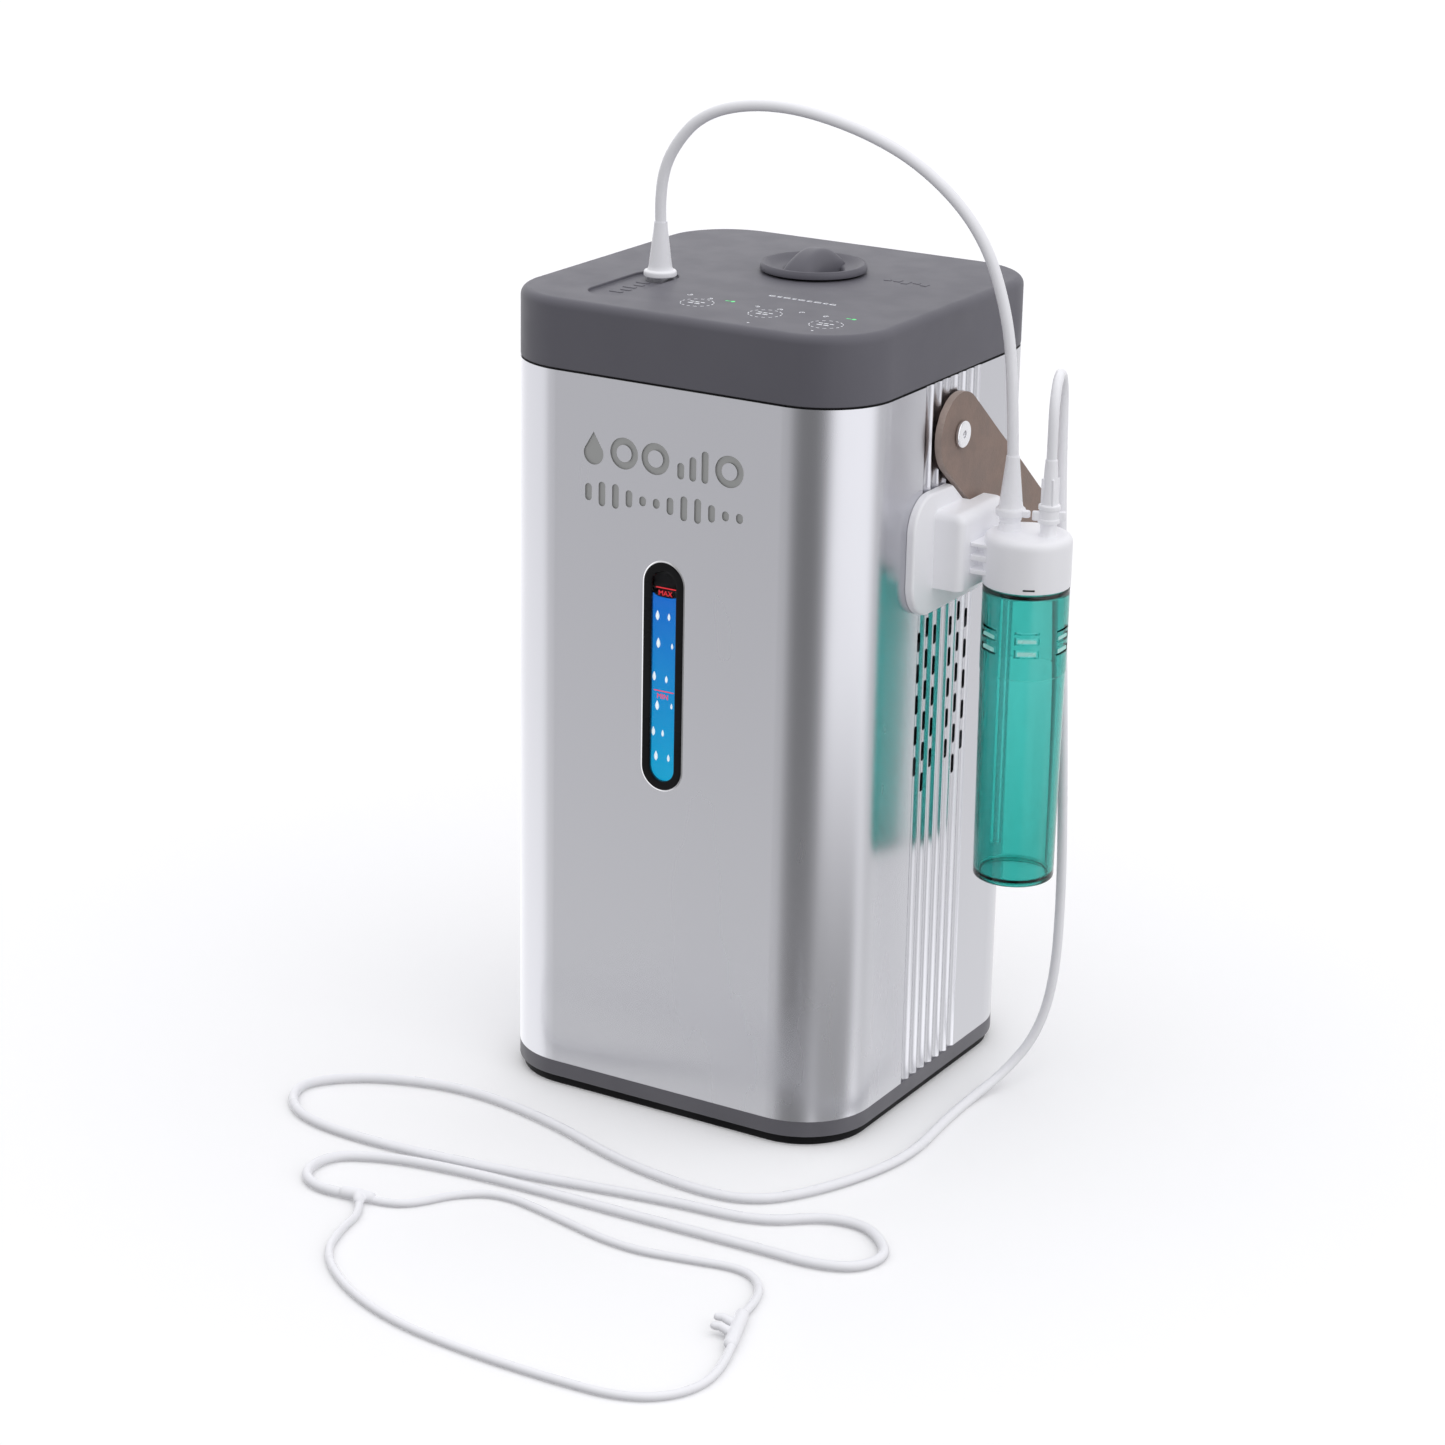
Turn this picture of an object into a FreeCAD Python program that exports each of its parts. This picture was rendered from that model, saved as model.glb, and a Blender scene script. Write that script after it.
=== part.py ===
import FreeCAD, Part
import math
import os

# Portable hydrogen and oxygen inhalation generator with a humidifier jar.
# Millimetres. Origin: centre of the column on the surface it stands on.
# +Z up, -Y the front with the level window, +X the side that carries the jar.

os.makedirs("parts", exist_ok=True)
V = FreeCAD.Vector

# ---------------------------------------------------------------- column
BODY_W = 180.0          # width and depth of the square column
BODY_R = 33.7           # vertical corner radius
FOOT_H = 4.6            # rubber foot ring
FOOT_INSET = 2.0
FOOT_BAND = 13.0
BASE_TOP = 12.0         # top of the base tray's visible band
SEAM_H = 0.8            # dark gasket under the cap
CAP_TOP = 367.2         # top surface of the cap
CAP_H = 31.1            # height of the cap with its gasket
SLEEVE_TOP = CAP_TOP - CAP_H
CAP_EDGE = 4.0          # rounding of the cap's top edge
WALL = 2.5              # sleeve wall
CAP_WALL = 4.0          # thickness of the cap's top
TRAY_FLOOR = 8.0        # inside floor of the base tray
SPIGOT_GAP = 0.2        # spigots inside the sleeve, per side
SPIGOT_T = 2.5
TRAY_LIP = 20.0         # height of the tray's lip
LIP_REACH = 10.1        # how far the cap's lip reaches into the sleeve
CAP_LIP = SLEEVE_TOP - LIP_REACH
SCREW_PORT_R = 4.5      # screw channels in the sleeve's corners
SCREW_PORT_IN = 13.7     # from each side of the column
SCREW_PORT_C = BODY_W / 2 - SCREW_PORT_IN
BASE_SCREW_R = 1.9
BASE_SCREW_GAP = 0.05

# flutes and vents on both side faces
FLUTE_N = 7
FLUTE_PITCH = 7.4
FLUTE_W = 6.6
FLUTE_D = 1.0
SLOT_W = 2.6
SLOT_L = 9.0
SLOT_PITCH = 14.4
SLOT_LOW = 154.2        # centre of the lowest slot in a long column

# level window in the front
WIN_Z = 207.25
WIN_L = 103.7
WIN_W = 20.0
WIN_RIM = 3.8           # bezel round the pane
WIN_GLASS_W = WIN_W - 2 * WIN_RIM
WIN_GLASS_L = WIN_L - 2 * WIN_RIM
WIN_FLANGE = 4.0

# engraved ornament above the window
MARK_D = 0.5
MARK_Z1 = 304.3         # centre of the upper row
MARK_Z2 = 284.6         # centre of the lower row
MARK_W = 3.4            # stroke width

# strap handle
PIVOT_Z = 311.0
STRAP_REST = 39.0       # degrees below level, towards the back
STRAP_GAP = 1.3         # each arm's clearance from the sleeve
STRAP_IN = BODY_W / 2 + STRAP_GAP
STRAP_T = 3.2
STRAP_W = 37.0
STRAP_BACK = 0.94       # gap behind the column where the strap hangs against its back
# Pivot to the inside of the cross piece, whose lower edge just clears the column's back.
STRAP_L = (BODY_W / 2 + STRAP_BACK + STRAP_W / 2 * math.sin(math.radians(STRAP_REST))
           ) / math.cos(math.radians(STRAP_REST))
STRAP_R = 30.0          # inside bend radius
PIVOT_PIN_R = 3.0
PIVOT_GAP = 0.05
PIVOT_HEAD_R = 6.0
PIVOT_HEAD_T = 1.6
BUSH_R = 3.5
BUSH_FLANGE_R = 8.0
PIVOT_THREAD_R = 2.4

# jar bracket
PLATE_W = 78.0
PLATE_LOW = 235.0
PLATE_TOP = 289.5
PLATE_R = 16.0
PLATE_T = 4.0
BLOCK_W = 43.0
BLOCK_LOW = 246.5
BLOCK_TOP = 281.0
BLOCK_D = 18.0
BLOCK_OUT = BODY_W / 2 + BLOCK_D
BRACKET_SCREW_Y = 12.0
BRACKET_SCREW_Z = 256.0
BRACKET_SCREW_R = 2.0
STRAP_CLEAR = 1.5

# humidifier jar
JAR_CAP_R = 19.2
JAR_GAP = 1.8           # between the bracket's block and the cap
JAR_X = BLOCK_OUT + JAR_CAP_R + JAR_GAP
JAR_CAP_LOW = 249.5
JAR_CAP_TOP = 272.5
JAR_CAP_WALL = 2.6
JAR_CAP_ROOF = 4.0
JAR_LOW = 114.3
JAR_TOP_R = JAR_CAP_R - 0.2
JAR_TAPER = 1.2         # radius lost towards the jar's floor
JAR_LOW_R = JAR_TOP_R - JAR_TAPER
JAR_WALL = 1.8
JAR_FLOOR = 3.0
GRIP_W = 10.4           # finger grip pockets round the jar
GRIP_D = 0.9
GRIP_ROWS = ((221.2, 224.4), (227.1, 230.0), (231.8, 232.6))
JAR_NECK_TOP = 265.0
JAR_NECK_GAP = 0.3
ARM_W = 28.8
ARM_LOW = 254.0
ARM_TOP = 267.8
PORT_X = 9.2            # each port's distance from the jar's axis

# filler
FILL_X = 6.0
FILL_Y = 23.5
FILL_R = 24.0
NECK_R = 17.0
NECK_BORE = 14.5
PLUG_GAP = 0.3

# top outlet
OUT_X = -43.4
OUT_Y = -26.1
RECESS_X = -46.0
RECESS_R = 10.5
RECESS_Y0 = -61.0
RECESS_D = 1.5

# water tank
TANK_X = 50.0
TANK_FRONT = 10.0       # tank's front wall behind the sleeve's face
TANK_Y0 = TANK_FRONT - BODY_W / 2
TANK_Y1 = 46.0
TANK_Z0 = 152.0
TANK_Z1 = 300.0
TANK_WALL = 2.5
TANK_R = 8.0
LID_T = 3.0
STEM_X = -25.0
STEM_Y = TANK_Y0 + 25.0
STEM_R = 2.0
FLOAT_GAP = 0.08
FLOAT_R = 9.0
FLOAT_H = 14.0
FLOAT_Z = 234.0

# fan
FAN_Z = 190.0
FAN_W = 60.0
FAN_T = 15.0
FAN_BORE = 28.5
FAN_SHAFT_R = 1.5
FAN_GAP = 0.05

# tubes
GAS_OD = 5.0
CANNULA_OD = 4.5
BRANCH_OD = 3.6


# ---------------------------------------------------------------- helpers
def block(x0, x1, y0, y1, z0, z1):
    return Part.makeBox(x1 - x0, y1 - y0, z1 - z0, V(x0, y0, z0))


def rounded(width, depth, radius, z0, z1, cx=0.0, cy=0.0):
    solid = block(cx - width / 2, cx + width / 2, cy - depth / 2, cy + depth / 2, z0, z1)
    upright = [e for e in solid.Edges if abs(e.Vertexes[0].Z - e.Vertexes[-1].Z) > 0.5 * (z1 - z0)]
    return solid.makeFillet(radius, upright)


def rod(radius, height, x, y, z, axis=V(0, 0, 1)):
    return Part.makeCylinder(radius, height, V(x, y, z), axis)


def cone(r0, r1, height, x, y, z):
    return Part.makeCone(r0, r1, height, V(x, y, z), V(0, 0, 1))


def ring(r_out, r_in, z0, z1, x, y):
    return rod(r_out, z1 - z0, x, y, z0).cut(rod(r_in, z1 - z0, x, y, z0))


def stadium(axis, across, z, length, width, start, depth):
    """Upright slot: a long box with round ends, pushed along X or Y."""
    r = width / 2
    h = length / 2 - r
    if axis == "X":
        def at(u, w):
            return V(start, across + u, z + w)
        push = V(depth, 0, 0)
    else:
        def at(u, w):
            return V(across + u, start, z + w)
        push = V(0, depth, 0)
    top = Part.Arc(at(-r, h), at(0, h + r), at(r, h)).toShape()
    low = Part.Arc(at(r, -h), at(0, -h - r), at(-r, -h)).toShape()
    right = Part.LineSegment(at(r, h), at(r, -h)).toShape()
    left = Part.LineSegment(at(-r, -h), at(-r, h)).toShape()
    return Part.Face(Part.Wire([top, right, low, left])).extrude(push)


def soften(solid, radius, chosen):
    return solid.makeFillet(radius, [e for e in solid.Edges if chosen(e)])


def joined(first, others):
    return first.fuse(others).removeSplitter()


def tube(points, diameter):
    """Straight runs joined by arcs that are tangent to both runs."""
    pts = [V(*p) for p in points]
    edges = []
    start = pts[0]
    radii = []
    for before, corner, after in zip(pts, pts[1:], pts[2:]):
        a = before.sub(corner)
        b = after.sub(corner)
        run = min(a.Length, b.Length)
        a.normalize()
        b.normalize()
        turn = math.pi - a.getAngle(b)
        cut = 0.45 * run
        radius = cut / math.tan(turn / 2)
        radii.append(radius)
        enter = corner + a * cut
        leave = corner + b * cut
        middle = a + b
        middle.normalize()
        reach = radius / math.cos(turn / 2) - radius
        edges.append(Part.LineSegment(start, enter).toShape())
        edges.append(Part.Arc(enter, corner + middle * reach, leave).toShape())
        start = leave
    edges.append(Part.LineSegment(start, pts[-1]).toShape())
    path = Part.Wire(edges)
    ring_wire = Part.Wire(Part.makeCircle(diameter / 2, pts[0], pts[1].sub(pts[0])))
    solid = path.makePipeShell([ring_wire], True, False)
    area = math.pi * diameter ** 2 / 4
    print("tube", round(path.Length, 1), "smallest radius", round(min(radii), 1),
          "volume ratio", round(solid.Volume / (area * path.Length), 4))
    return solid


def save(name, shape):
    shape.exportStep("parts/" + name + ".step")
    print(name, len(shape.Solids), "solid", round(shape.Volume / 1000, 2), "cm3", shape.isValid())


HALF = BODY_W / 2
INNER = BODY_W - 2 * WALL
INNER_R = BODY_R - WALL
LIP_W = INNER - 2 * SPIGOT_GAP
LIP_R = INNER_R - SPIGOT_GAP
LIP_IN = LIP_W - 2 * SPIGOT_T
CAP_LOW = SLEEVE_TOP + SEAM_H
CORNERS = [(sx * SCREW_PORT_C, sy * SCREW_PORT_C) for sx in (-1, 1) for sy in (-1, 1)]
JAR_Y = 0.0

# ---------------------------------------------------------------- base
# A rubber ring that the column stands on.
foot = rounded(BODY_W - 2 * FOOT_INSET, BODY_W - 2 * FOOT_INSET, BODY_R - FOOT_INSET, 0, FOOT_H)
hole_w = BODY_W - 2 * FOOT_INSET - 2 * FOOT_BAND
foot = foot.cut(rounded(hole_w, hole_w, BODY_R - FOOT_INSET - FOOT_BAND, -1, FOOT_H + 1))
save("foot_ring", foot)

# The moulded tray closes the bottom and centres the sleeve with its lip.
tray = rounded(BODY_W, BODY_W, BODY_R, FOOT_H, BASE_TOP)
tray = tray.fuse(rounded(LIP_W, LIP_W, LIP_R, BASE_TOP, TRAY_LIP))
tray = tray.cut(rounded(LIP_IN, LIP_IN, LIP_R - SPIGOT_T, TRAY_FLOOR, TRAY_LIP + 1))
for x, y in CORNERS:
    tray = tray.cut(rod(SCREW_PORT_R + 0.4, TRAY_LIP, x, y, BASE_TOP))
    tray = tray.fuse(rod(SCREW_PORT_R + 0.4, BASE_TOP - FOOT_H, x, y, FOOT_H))
    tray = tray.cut(rod(BASE_SCREW_R + BASE_SCREW_GAP, BASE_TOP, x, y, 0))
    tray = tray.cut(rod(3.6, 2.4, x, y, FOOT_H))
save("base_tray", tray.removeSplitter())

screws = []
for x, y in CORNERS:
    head = rod(3.5, 2.4, x, y, FOOT_H)
    head = head.cut(block(x - 2.4, x + 2.4, y - 0.5, y + 0.5, FOOT_H - 1, FOOT_H + 1.2))
    screws.append(head.fuse(rod(BASE_SCREW_R, 20.0, x, y, FOOT_H + 2.4)).removeSplitter())
save("base_screws", Part.makeCompound(screws))

# ---------------------------------------------------------------- sleeve
# One aluminium extrusion: square tube, corner screw channels, fluted sides.
sleeve = rounded(BODY_W, BODY_W, BODY_R, BASE_TOP, SLEEVE_TOP)
sleeve = sleeve.cut(rounded(INNER, INNER, INNER_R, BASE_TOP - 1, SLEEVE_TOP + 1))
channels = [rod(SCREW_PORT_R, SLEEVE_TOP - BASE_TOP, x, y, BASE_TOP) for x, y in CORNERS]
sleeve = sleeve.fuse(channels)
flute_r = (FLUTE_W ** 2 / 4 + FLUTE_D ** 2) / (2 * FLUTE_D)
cutters = [rod(BASE_SCREW_R + BASE_SCREW_GAP, SLEEVE_TOP, x, y, 0) for x, y in CORNERS]
for side in (-1, 1):
    for i in range(FLUTE_N):
        y = (i - FLUTE_N // 2) * FLUTE_PITCH
        x = side * (HALF + flute_r - FLUTE_D)
        cutters.append(rod(flute_r, SLEEVE_TOP, x, y, 0))
sleeve = sleeve.cut(cutters)
slots = []
for i in range(FLUTE_N):
    if i == FLUTE_N // 2:
        continue
    y = (i - FLUTE_N // 2) * FLUTE_PITCH
    long_column = i in (1, 5)
    count = 6 if long_column else 5
    low = SLOT_LOW if long_column else SLOT_LOW + 9.3
    for k in range(count):
        for start in (-HALF - 1, HALF - WALL - 1):
            slots.append(stadium("X", y, low + k * SLOT_PITCH, SLOT_L, SLOT_W, start, WALL + 2))
slots.append(stadium("Y", 0, WIN_Z, WIN_L, WIN_W, -HALF - 1, WALL + 2))
for side in (-1, 1):
    slots.append(rod(BUSH_R, 8, side * HALF - 4, 0, PIVOT_Z, V(1, 0, 0)))
for side in (-1, 1):
    slots.append(rod(BRACKET_SCREW_R, 8, HALF - 5, side * BRACKET_SCREW_Y, BRACKET_SCREW_Z, V(1, 0, 0)))
INLET = (-46.0, -18.0, 28.0, 62.0)      # x0, x1, z0, z1 of the mains inlet's body
SWITCH = (4.0, 17.0, 36.0, 55.0)        # the same for the rocker switch
DRAIN = (44.0, 32.0)                    # x and z of the drain
slots.append(block(INLET[0], INLET[1], HALF - 5, HALF + 1, INLET[2], INLET[3]))
slots.append(block(SWITCH[0], SWITCH[1], HALF - 5, HALF + 1, SWITCH[2], SWITCH[3]))
slots.append(rod(6.0, 8, DRAIN[0], HALF - 5, DRAIN[1], V(0, 1, 0)))
# Engraving: a drop, a pair of rings, rising bars and a ring over a row of bars like a breath.
OUT = V(0, 1, 0)


def pit(radius, x, z):
    return rod(radius, MARK_D + 1, x, -HALF - 1, z, OUT)


def rings(x, z, outer, inner):
    return pit(outer, x, z).cut(pit(inner, x, z))


drop_r = 5.0
drop_x = -36.5
drop_z = MARK_Z1 - 2.2
tip = [V(drop_x - drop_r * 0.86, -HALF - 1, drop_z + drop_r * 0.5), V(drop_x, -HALF - 1, MARK_Z1 + 7.4),
       V(drop_x + drop_r * 0.86, -HALF - 1, drop_z + drop_r * 0.5)]
tip_solid = Part.Face(Part.makePolygon(tip + [tip[0]])).extrude(V(0, MARK_D + 1, 0))
engraving = [pit(drop_r, drop_x, drop_z).fuse(tip_solid)]
engraving += [rings(-21.0, MARK_Z1, 7.0, 3.8), rings(-5.2, MARK_Z1, 7.0, 3.8), rings(31.5, MARK_Z1, 7.0, 3.8)]
engraving += [stadium("Y", 7.5 + 6 * k, MARK_Z1 - 3.4 + 1.7 * k, 7.2 + 3.4 * k, MARK_W, -HALF - 1, MARK_D + 1)
              for k in range(3)]
for k in range(12):
    length = 7.6 + 3.8 * math.cos(math.pi * (k - 1.5) / 3)
    engraving.append(stadium("Y", -39.0 + 6.9 * k, MARK_Z2, length, MARK_W, -HALF - 1, MARK_D + 1))
sleeve = sleeve.cut(slots + engraving)
save("sleeve", sleeve.removeSplitter())

seam = rounded(BODY_W - 1, BODY_W - 1, BODY_R - 0.5, SLEEVE_TOP, CAP_LOW)
save("seam_gasket", seam.cut(rounded(INNER, INNER, INNER_R, SLEEVE_TOP - 1, CAP_LOW + 1)))

# ---------------------------------------------------------------- top cap
cap = rounded(BODY_W, BODY_W, BODY_R, CAP_LOW, CAP_TOP)
cap = soften(cap, CAP_EDGE, lambda e: min(v.Z for v in e.Vertexes) > CAP_TOP - 0.01)
cap = cap.fuse(rounded(LIP_W, LIP_W, LIP_R, CAP_LIP, CAP_LOW))
cap = cap.cut(rounded(LIP_IN, LIP_IN, LIP_R - SPIGOT_T, CAP_LIP - 1, CAP_TOP - CAP_WALL))
cap = cap.cut([rod(SCREW_PORT_R + 0.4, SLEEVE_TOP - CAP_LIP + 1, x, y, CAP_LIP - 1) for x, y in CORNERS])
recess_l = OUT_Y - RECESS_Y0
recess = block(RECESS_X - RECESS_R, RECESS_X + RECESS_R, RECESS_Y0, OUT_Y, CAP_TOP - RECESS_D, CAP_TOP + 1)
recess = recess.fuse([rod(RECESS_R, RECESS_D + 1, RECESS_X, y, CAP_TOP - RECESS_D) for y in (RECESS_Y0, OUT_Y)])
cap = cap.cut(recess)
cap = cap.cut(rod(NECK_R + 0.2, CAP_WALL + 2, FILL_X, FILL_Y, CAP_TOP - CAP_WALL - 1))
cap = cap.cut(rod(3.8, CAP_WALL + 2, OUT_X, OUT_Y, CAP_TOP - CAP_WALL - 1))
save("top_cap", cap.removeSplitter())

# Board with the touch pads, held against the underside of the cap.
board = block(-20, 66, -80, -42, CAP_TOP - CAP_WALL - 1.6, CAP_TOP - CAP_WALL)
chips = [block(-10 + 16 * k, -2 + 16 * k, -66, -58, CAP_TOP - CAP_WALL - 3.4, CAP_TOP - CAP_WALL - 1.6)
         for k in range(5)]
chips.append(block(20, 40, -52, -46, CAP_TOP - CAP_WALL - 8, CAP_TOP - CAP_WALL - 1.6))
save("touch_board", joined(board, chips))

# Outlet nipple: collar in the recess, stub above it and hose barb inside.
floor_z = CAP_TOP - RECESS_D
nipple = rod(6.0, RECESS_D + 0.5, OUT_X, OUT_Y, floor_z)
nipple = nipple.fuse([rod(3.8, 20, OUT_X, OUT_Y, floor_z - 20), rod(2.6, 16, OUT_X, OUT_Y, floor_z + 2),
                      ring(6.0, 3.8, CAP_TOP - CAP_WALL - 3, CAP_TOP - CAP_WALL, OUT_X, OUT_Y)])
nipple = nipple.cut(rod(1.4, 60, OUT_X, OUT_Y, floor_z - 22))
save("outlet_nipple", nipple.removeSplitter())

# ---------------------------------------------------------------- level window
bezel = stadium("Y", 0, WIN_Z, WIN_L, WIN_W, -HALF - 0.4, WALL + 0.4)
bezel = bezel.fuse(stadium("Y", 0, WIN_Z, WIN_L + 2 * WIN_FLANGE, WIN_W + 2 * WIN_FLANGE, -HALF + WALL, 1.5))
bezel = bezel.cut(stadium("Y", 0, WIN_Z, WIN_GLASS_L, WIN_GLASS_W, -HALF - 2, 8))
save("window_bezel", bezel.removeSplitter())
save("window_lens", stadium("Y", 0, WIN_Z, WIN_GLASS_L, WIN_GLASS_W, -HALF + 0.6, WALL + 0.9))
SIGHT_Y0 = -HALF + WALL + 1.5
sight = block(-8, 8, SIGHT_Y0, TANK_Y0, WIN_Z - 50, WIN_Z + 50)
save("sight_block", sight.cut(block(-5, 5, SIGHT_Y0 + 1.5, TANK_Y0, WIN_Z - 46, WIN_Z + 46)))
lamp = block(8, 9.6, SIGHT_Y0, TANK_Y0, WIN_Z - 50, WIN_Z + 50)
lamp_chips = [block(9.6, 10.8, SIGHT_Y0 + 1.5, TANK_Y0 - 1.5, WIN_Z - 45 + 15 * k, WIN_Z - 40 + 15 * k)
              for k in range(7)]
save("backlight_board", joined(lamp, lamp_chips))

# ---------------------------------------------------------------- chassis and tank
# A bent steel shelf on two legs carries the tank above the electrical parts.
SHELF_T = 1.6
shelf = block(-60, 60, -82, 50, TANK_Z0 - SHELF_T, TANK_Z0)
for x0 in (-60, 60 - SHELF_T):
    leg = block(x0, x0 + SHELF_T, -70, 40, TRAY_FLOOR, TANK_Z0 - SHELF_T)
    leg = leg.cut(block(x0 - 1, x0 + SHELF_T + 1, -52, 22, 60, 130))
    shelf = shelf.fuse(leg)
for x0, x1 in ((-60, -50.5), (50.5, 60)):
    shelf = shelf.fuse(block(x0, x1, -70, 40, TRAY_FLOOR, TRAY_FLOOR + SHELF_T))
shelf = shelf.cut([rod(4.2, 6, 30, 10, TANK_Z0 - 4), rod(3.0, 6, -30, 30, TANK_Z0 - 4)])
save("chassis_shelf", shelf.removeSplitter())

tank_d = TANK_Y1 - TANK_Y0
tank_y = (TANK_Y1 + TANK_Y0) / 2
tank = rounded(2 * TANK_X, tank_d, TANK_R, TANK_Z0, TANK_Z1, 0, tank_y)
tank = tank.cut(rounded(2 * (TANK_X - TANK_WALL), tank_d - 2 * TANK_WALL, TANK_R - TANK_WALL,
                        TANK_Z0 + TANK_WALL, TANK_Z1 + 1, 0, tank_y))
tank = tank.fuse(rod(4.0, 14, 30, 10, TANK_Z0 - 12))
tank = tank.cut(rod(2.4, 20, 30, 10, TANK_Z0 - 14))
save("water_tank", tank.removeSplitter())

LID_TOP = TANK_Z1 + LID_T
lid = rounded(2 * TANK_X, tank_d, TANK_R, TANK_Z1, LID_TOP, 0, tank_y)
lid = lid.cut([rod(NECK_BORE, 8, FILL_X, FILL_Y, TANK_Z1 - 2), rod(STEM_R, 8, STEM_X, STEM_Y, TANK_Z1 - 2)])
save("tank_lid", lid)

stem = rod(STEM_R, LID_TOP - 168, STEM_X, STEM_Y, 168)
stem = stem.fuse([rod(4.2, 3, STEM_X, STEM_Y, 168), rod(6, 5, STEM_X, STEM_Y, LID_TOP)])
save("float_stem", stem.removeSplitter())
float_body = ring(FLOAT_R, STEM_R + FLOAT_GAP, FLOAT_Z, FLOAT_Z + FLOAT_H, STEM_X, STEM_Y)
float_body = soften(float_body, 1.5, lambda e: e.Length > 40 and len(e.Vertexes) == 1)
save("level_float", float_body)

NECK_TOP = CAP_TOP - 0.4
neck = ring(NECK_R, NECK_BORE, LID_TOP, NECK_TOP, FILL_X, FILL_Y)
neck = neck.fuse(ring(NECK_R + 4, NECK_R, CAP_TOP - CAP_WALL - 2, CAP_TOP - CAP_WALL, FILL_X, FILL_Y))
save("filler_neck", neck.removeSplitter())

# ---------------------------------------------------------------- filler cap
GASKET_T = 1.0
save("filler_gasket", ring(22.0, NECK_R + 0.8, CAP_TOP, CAP_TOP + GASKET_T, FILL_X, FILL_Y))
FILL_LOW = CAP_TOP + GASKET_T
FILL_TOP = FILL_LOW + 3.2
DISH_FLOOR = FILL_LOW - 3.0
DISH_STEP = FILL_LOW + 1.0
lid_cap = rod(FILL_R, FILL_TOP - FILL_LOW, FILL_X, FILL_Y, FILL_LOW)
lid_cap = soften(lid_cap, 1.3, lambda e: e.Length > 100 and e.Vertexes[0].Z > FILL_TOP - 0.1)
lid_cap = lid_cap.fuse(rod(NECK_BORE - PLUG_GAP, 10, FILL_X, FILL_Y, FILL_LOW - 10))
lid_cap = lid_cap.cut([cone(14.0, 21.2, FILL_TOP - DISH_STEP, FILL_X, FILL_Y, DISH_STEP),
                       cone(11.6, 12.6, DISH_STEP - DISH_FLOOR, FILL_X, FILL_Y, DISH_FLOOR)])
lid_cap = lid_cap.cut(rod(NECK_BORE - PLUG_GAP - 2, 6, FILL_X, FILL_Y, FILL_LOW - 10.5))
grip = block(FILL_X - 8, FILL_X + 8, FILL_Y - 21, FILL_Y + 21, DISH_FLOOR - 1, FILL_TOP + 6.2)
grip = soften(grip, 5.5, lambda e: min(v.Z for v in e.Vertexes) > FILL_TOP + 6.0)
dome = Part.makeSphere(24.0, V(FILL_X, FILL_Y, FILL_TOP - 17.6))
grip = grip.common(dome).common(rod(20.6, 30, FILL_X, FILL_Y, DISH_FLOOR - 1))
grip = grip.cut(ring(30, NECK_BORE - PLUG_GAP - 1, DISH_FLOOR - 2, DISH_STEP - 0.5, FILL_X, FILL_Y))
save("filler_cap", lid_cap.fuse(grip).removeSplitter())

# ---------------------------------------------------------------- strap handle
def strap_frame(shape):
    """Turn a shape drawn along +Y from the pivot to the strap's rest direction."""
    turned = shape.copy()
    turned.rotate(V(0, 0, 0), V(1, 0, 0), -STRAP_REST)
    turned.translate(V(0, 0, PIVOT_Z))
    return turned


def u_outline(half, length, radius, low, top):
    arms = block(-half, half, -30, length, low, top)
    far = [e for e in arms.Edges if abs(e.Vertexes[0].Z - e.Vertexes[-1].Z) > 1
           and e.Vertexes[0].Y > length - 0.01]
    return arms.makeFillet(radius, far)


strap = u_outline(STRAP_IN + STRAP_T, STRAP_L + STRAP_T, STRAP_R + STRAP_T, -STRAP_W / 2, STRAP_W / 2)
strap = strap.cut(u_outline(STRAP_IN, STRAP_L, STRAP_R, -STRAP_W, STRAP_W))
round_end = rod(STRAP_W / 2, 240, -120, 0, 0, V(1, 0, 0))
strap = strap.common(round_end.fuse(block(-120, 120, 0, 200, -STRAP_W, STRAP_W)))
strap = strap.cut(rod(PIVOT_PIN_R + PIVOT_GAP, 240, -120, 0, 0, V(1, 0, 0)))
save("carry_strap", strap_frame(strap.removeSplitter()))

for name, side in (("left", -1), ("right", 1)):
    out = V(side, 0, 0)
    flange_end = STRAP_IN - 0.3
    bush = rod(BUSH_FLANGE_R, flange_end - HALF, side * HALF, 0, PIVOT_Z, out)
    bush = bush.fuse([rod(BUSH_R, 8, side * (HALF - 8), 0, PIVOT_Z, out),
                      rod(5.0, 3.0, side * (HALF - WALL - 3), 0, PIVOT_Z, out)])
    bush = bush.cut(rod(PIVOT_THREAD_R, 30, side * (HALF - 12), 0, PIVOT_Z, out))
    save("pivot_bush_" + name, bush.removeSplitter())
    strap_out = STRAP_IN + STRAP_T + 0.3
    pin = rod(PIVOT_PIN_R, strap_out - flange_end, side * flange_end, 0, PIVOT_Z, out)
    head = rod(PIVOT_HEAD_R, PIVOT_HEAD_T, side * strap_out, 0, PIVOT_Z, out)
    head = soften(head, 0.7, lambda e: abs(abs(e.Vertexes[0].X) - strap_out - PIVOT_HEAD_T) < 0.01)
    pin = pin.fuse([head, rod(PIVOT_THREAD_R, 10, side * (flange_end - 10), 0, PIVOT_Z, out)])
    pin = pin.cut(rod(1.6, 1.0, side * (strap_out + PIVOT_HEAD_T - 1.0), 0, PIVOT_Z, out))
    save("pivot_screw_" + name, pin.removeSplitter())

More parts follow.
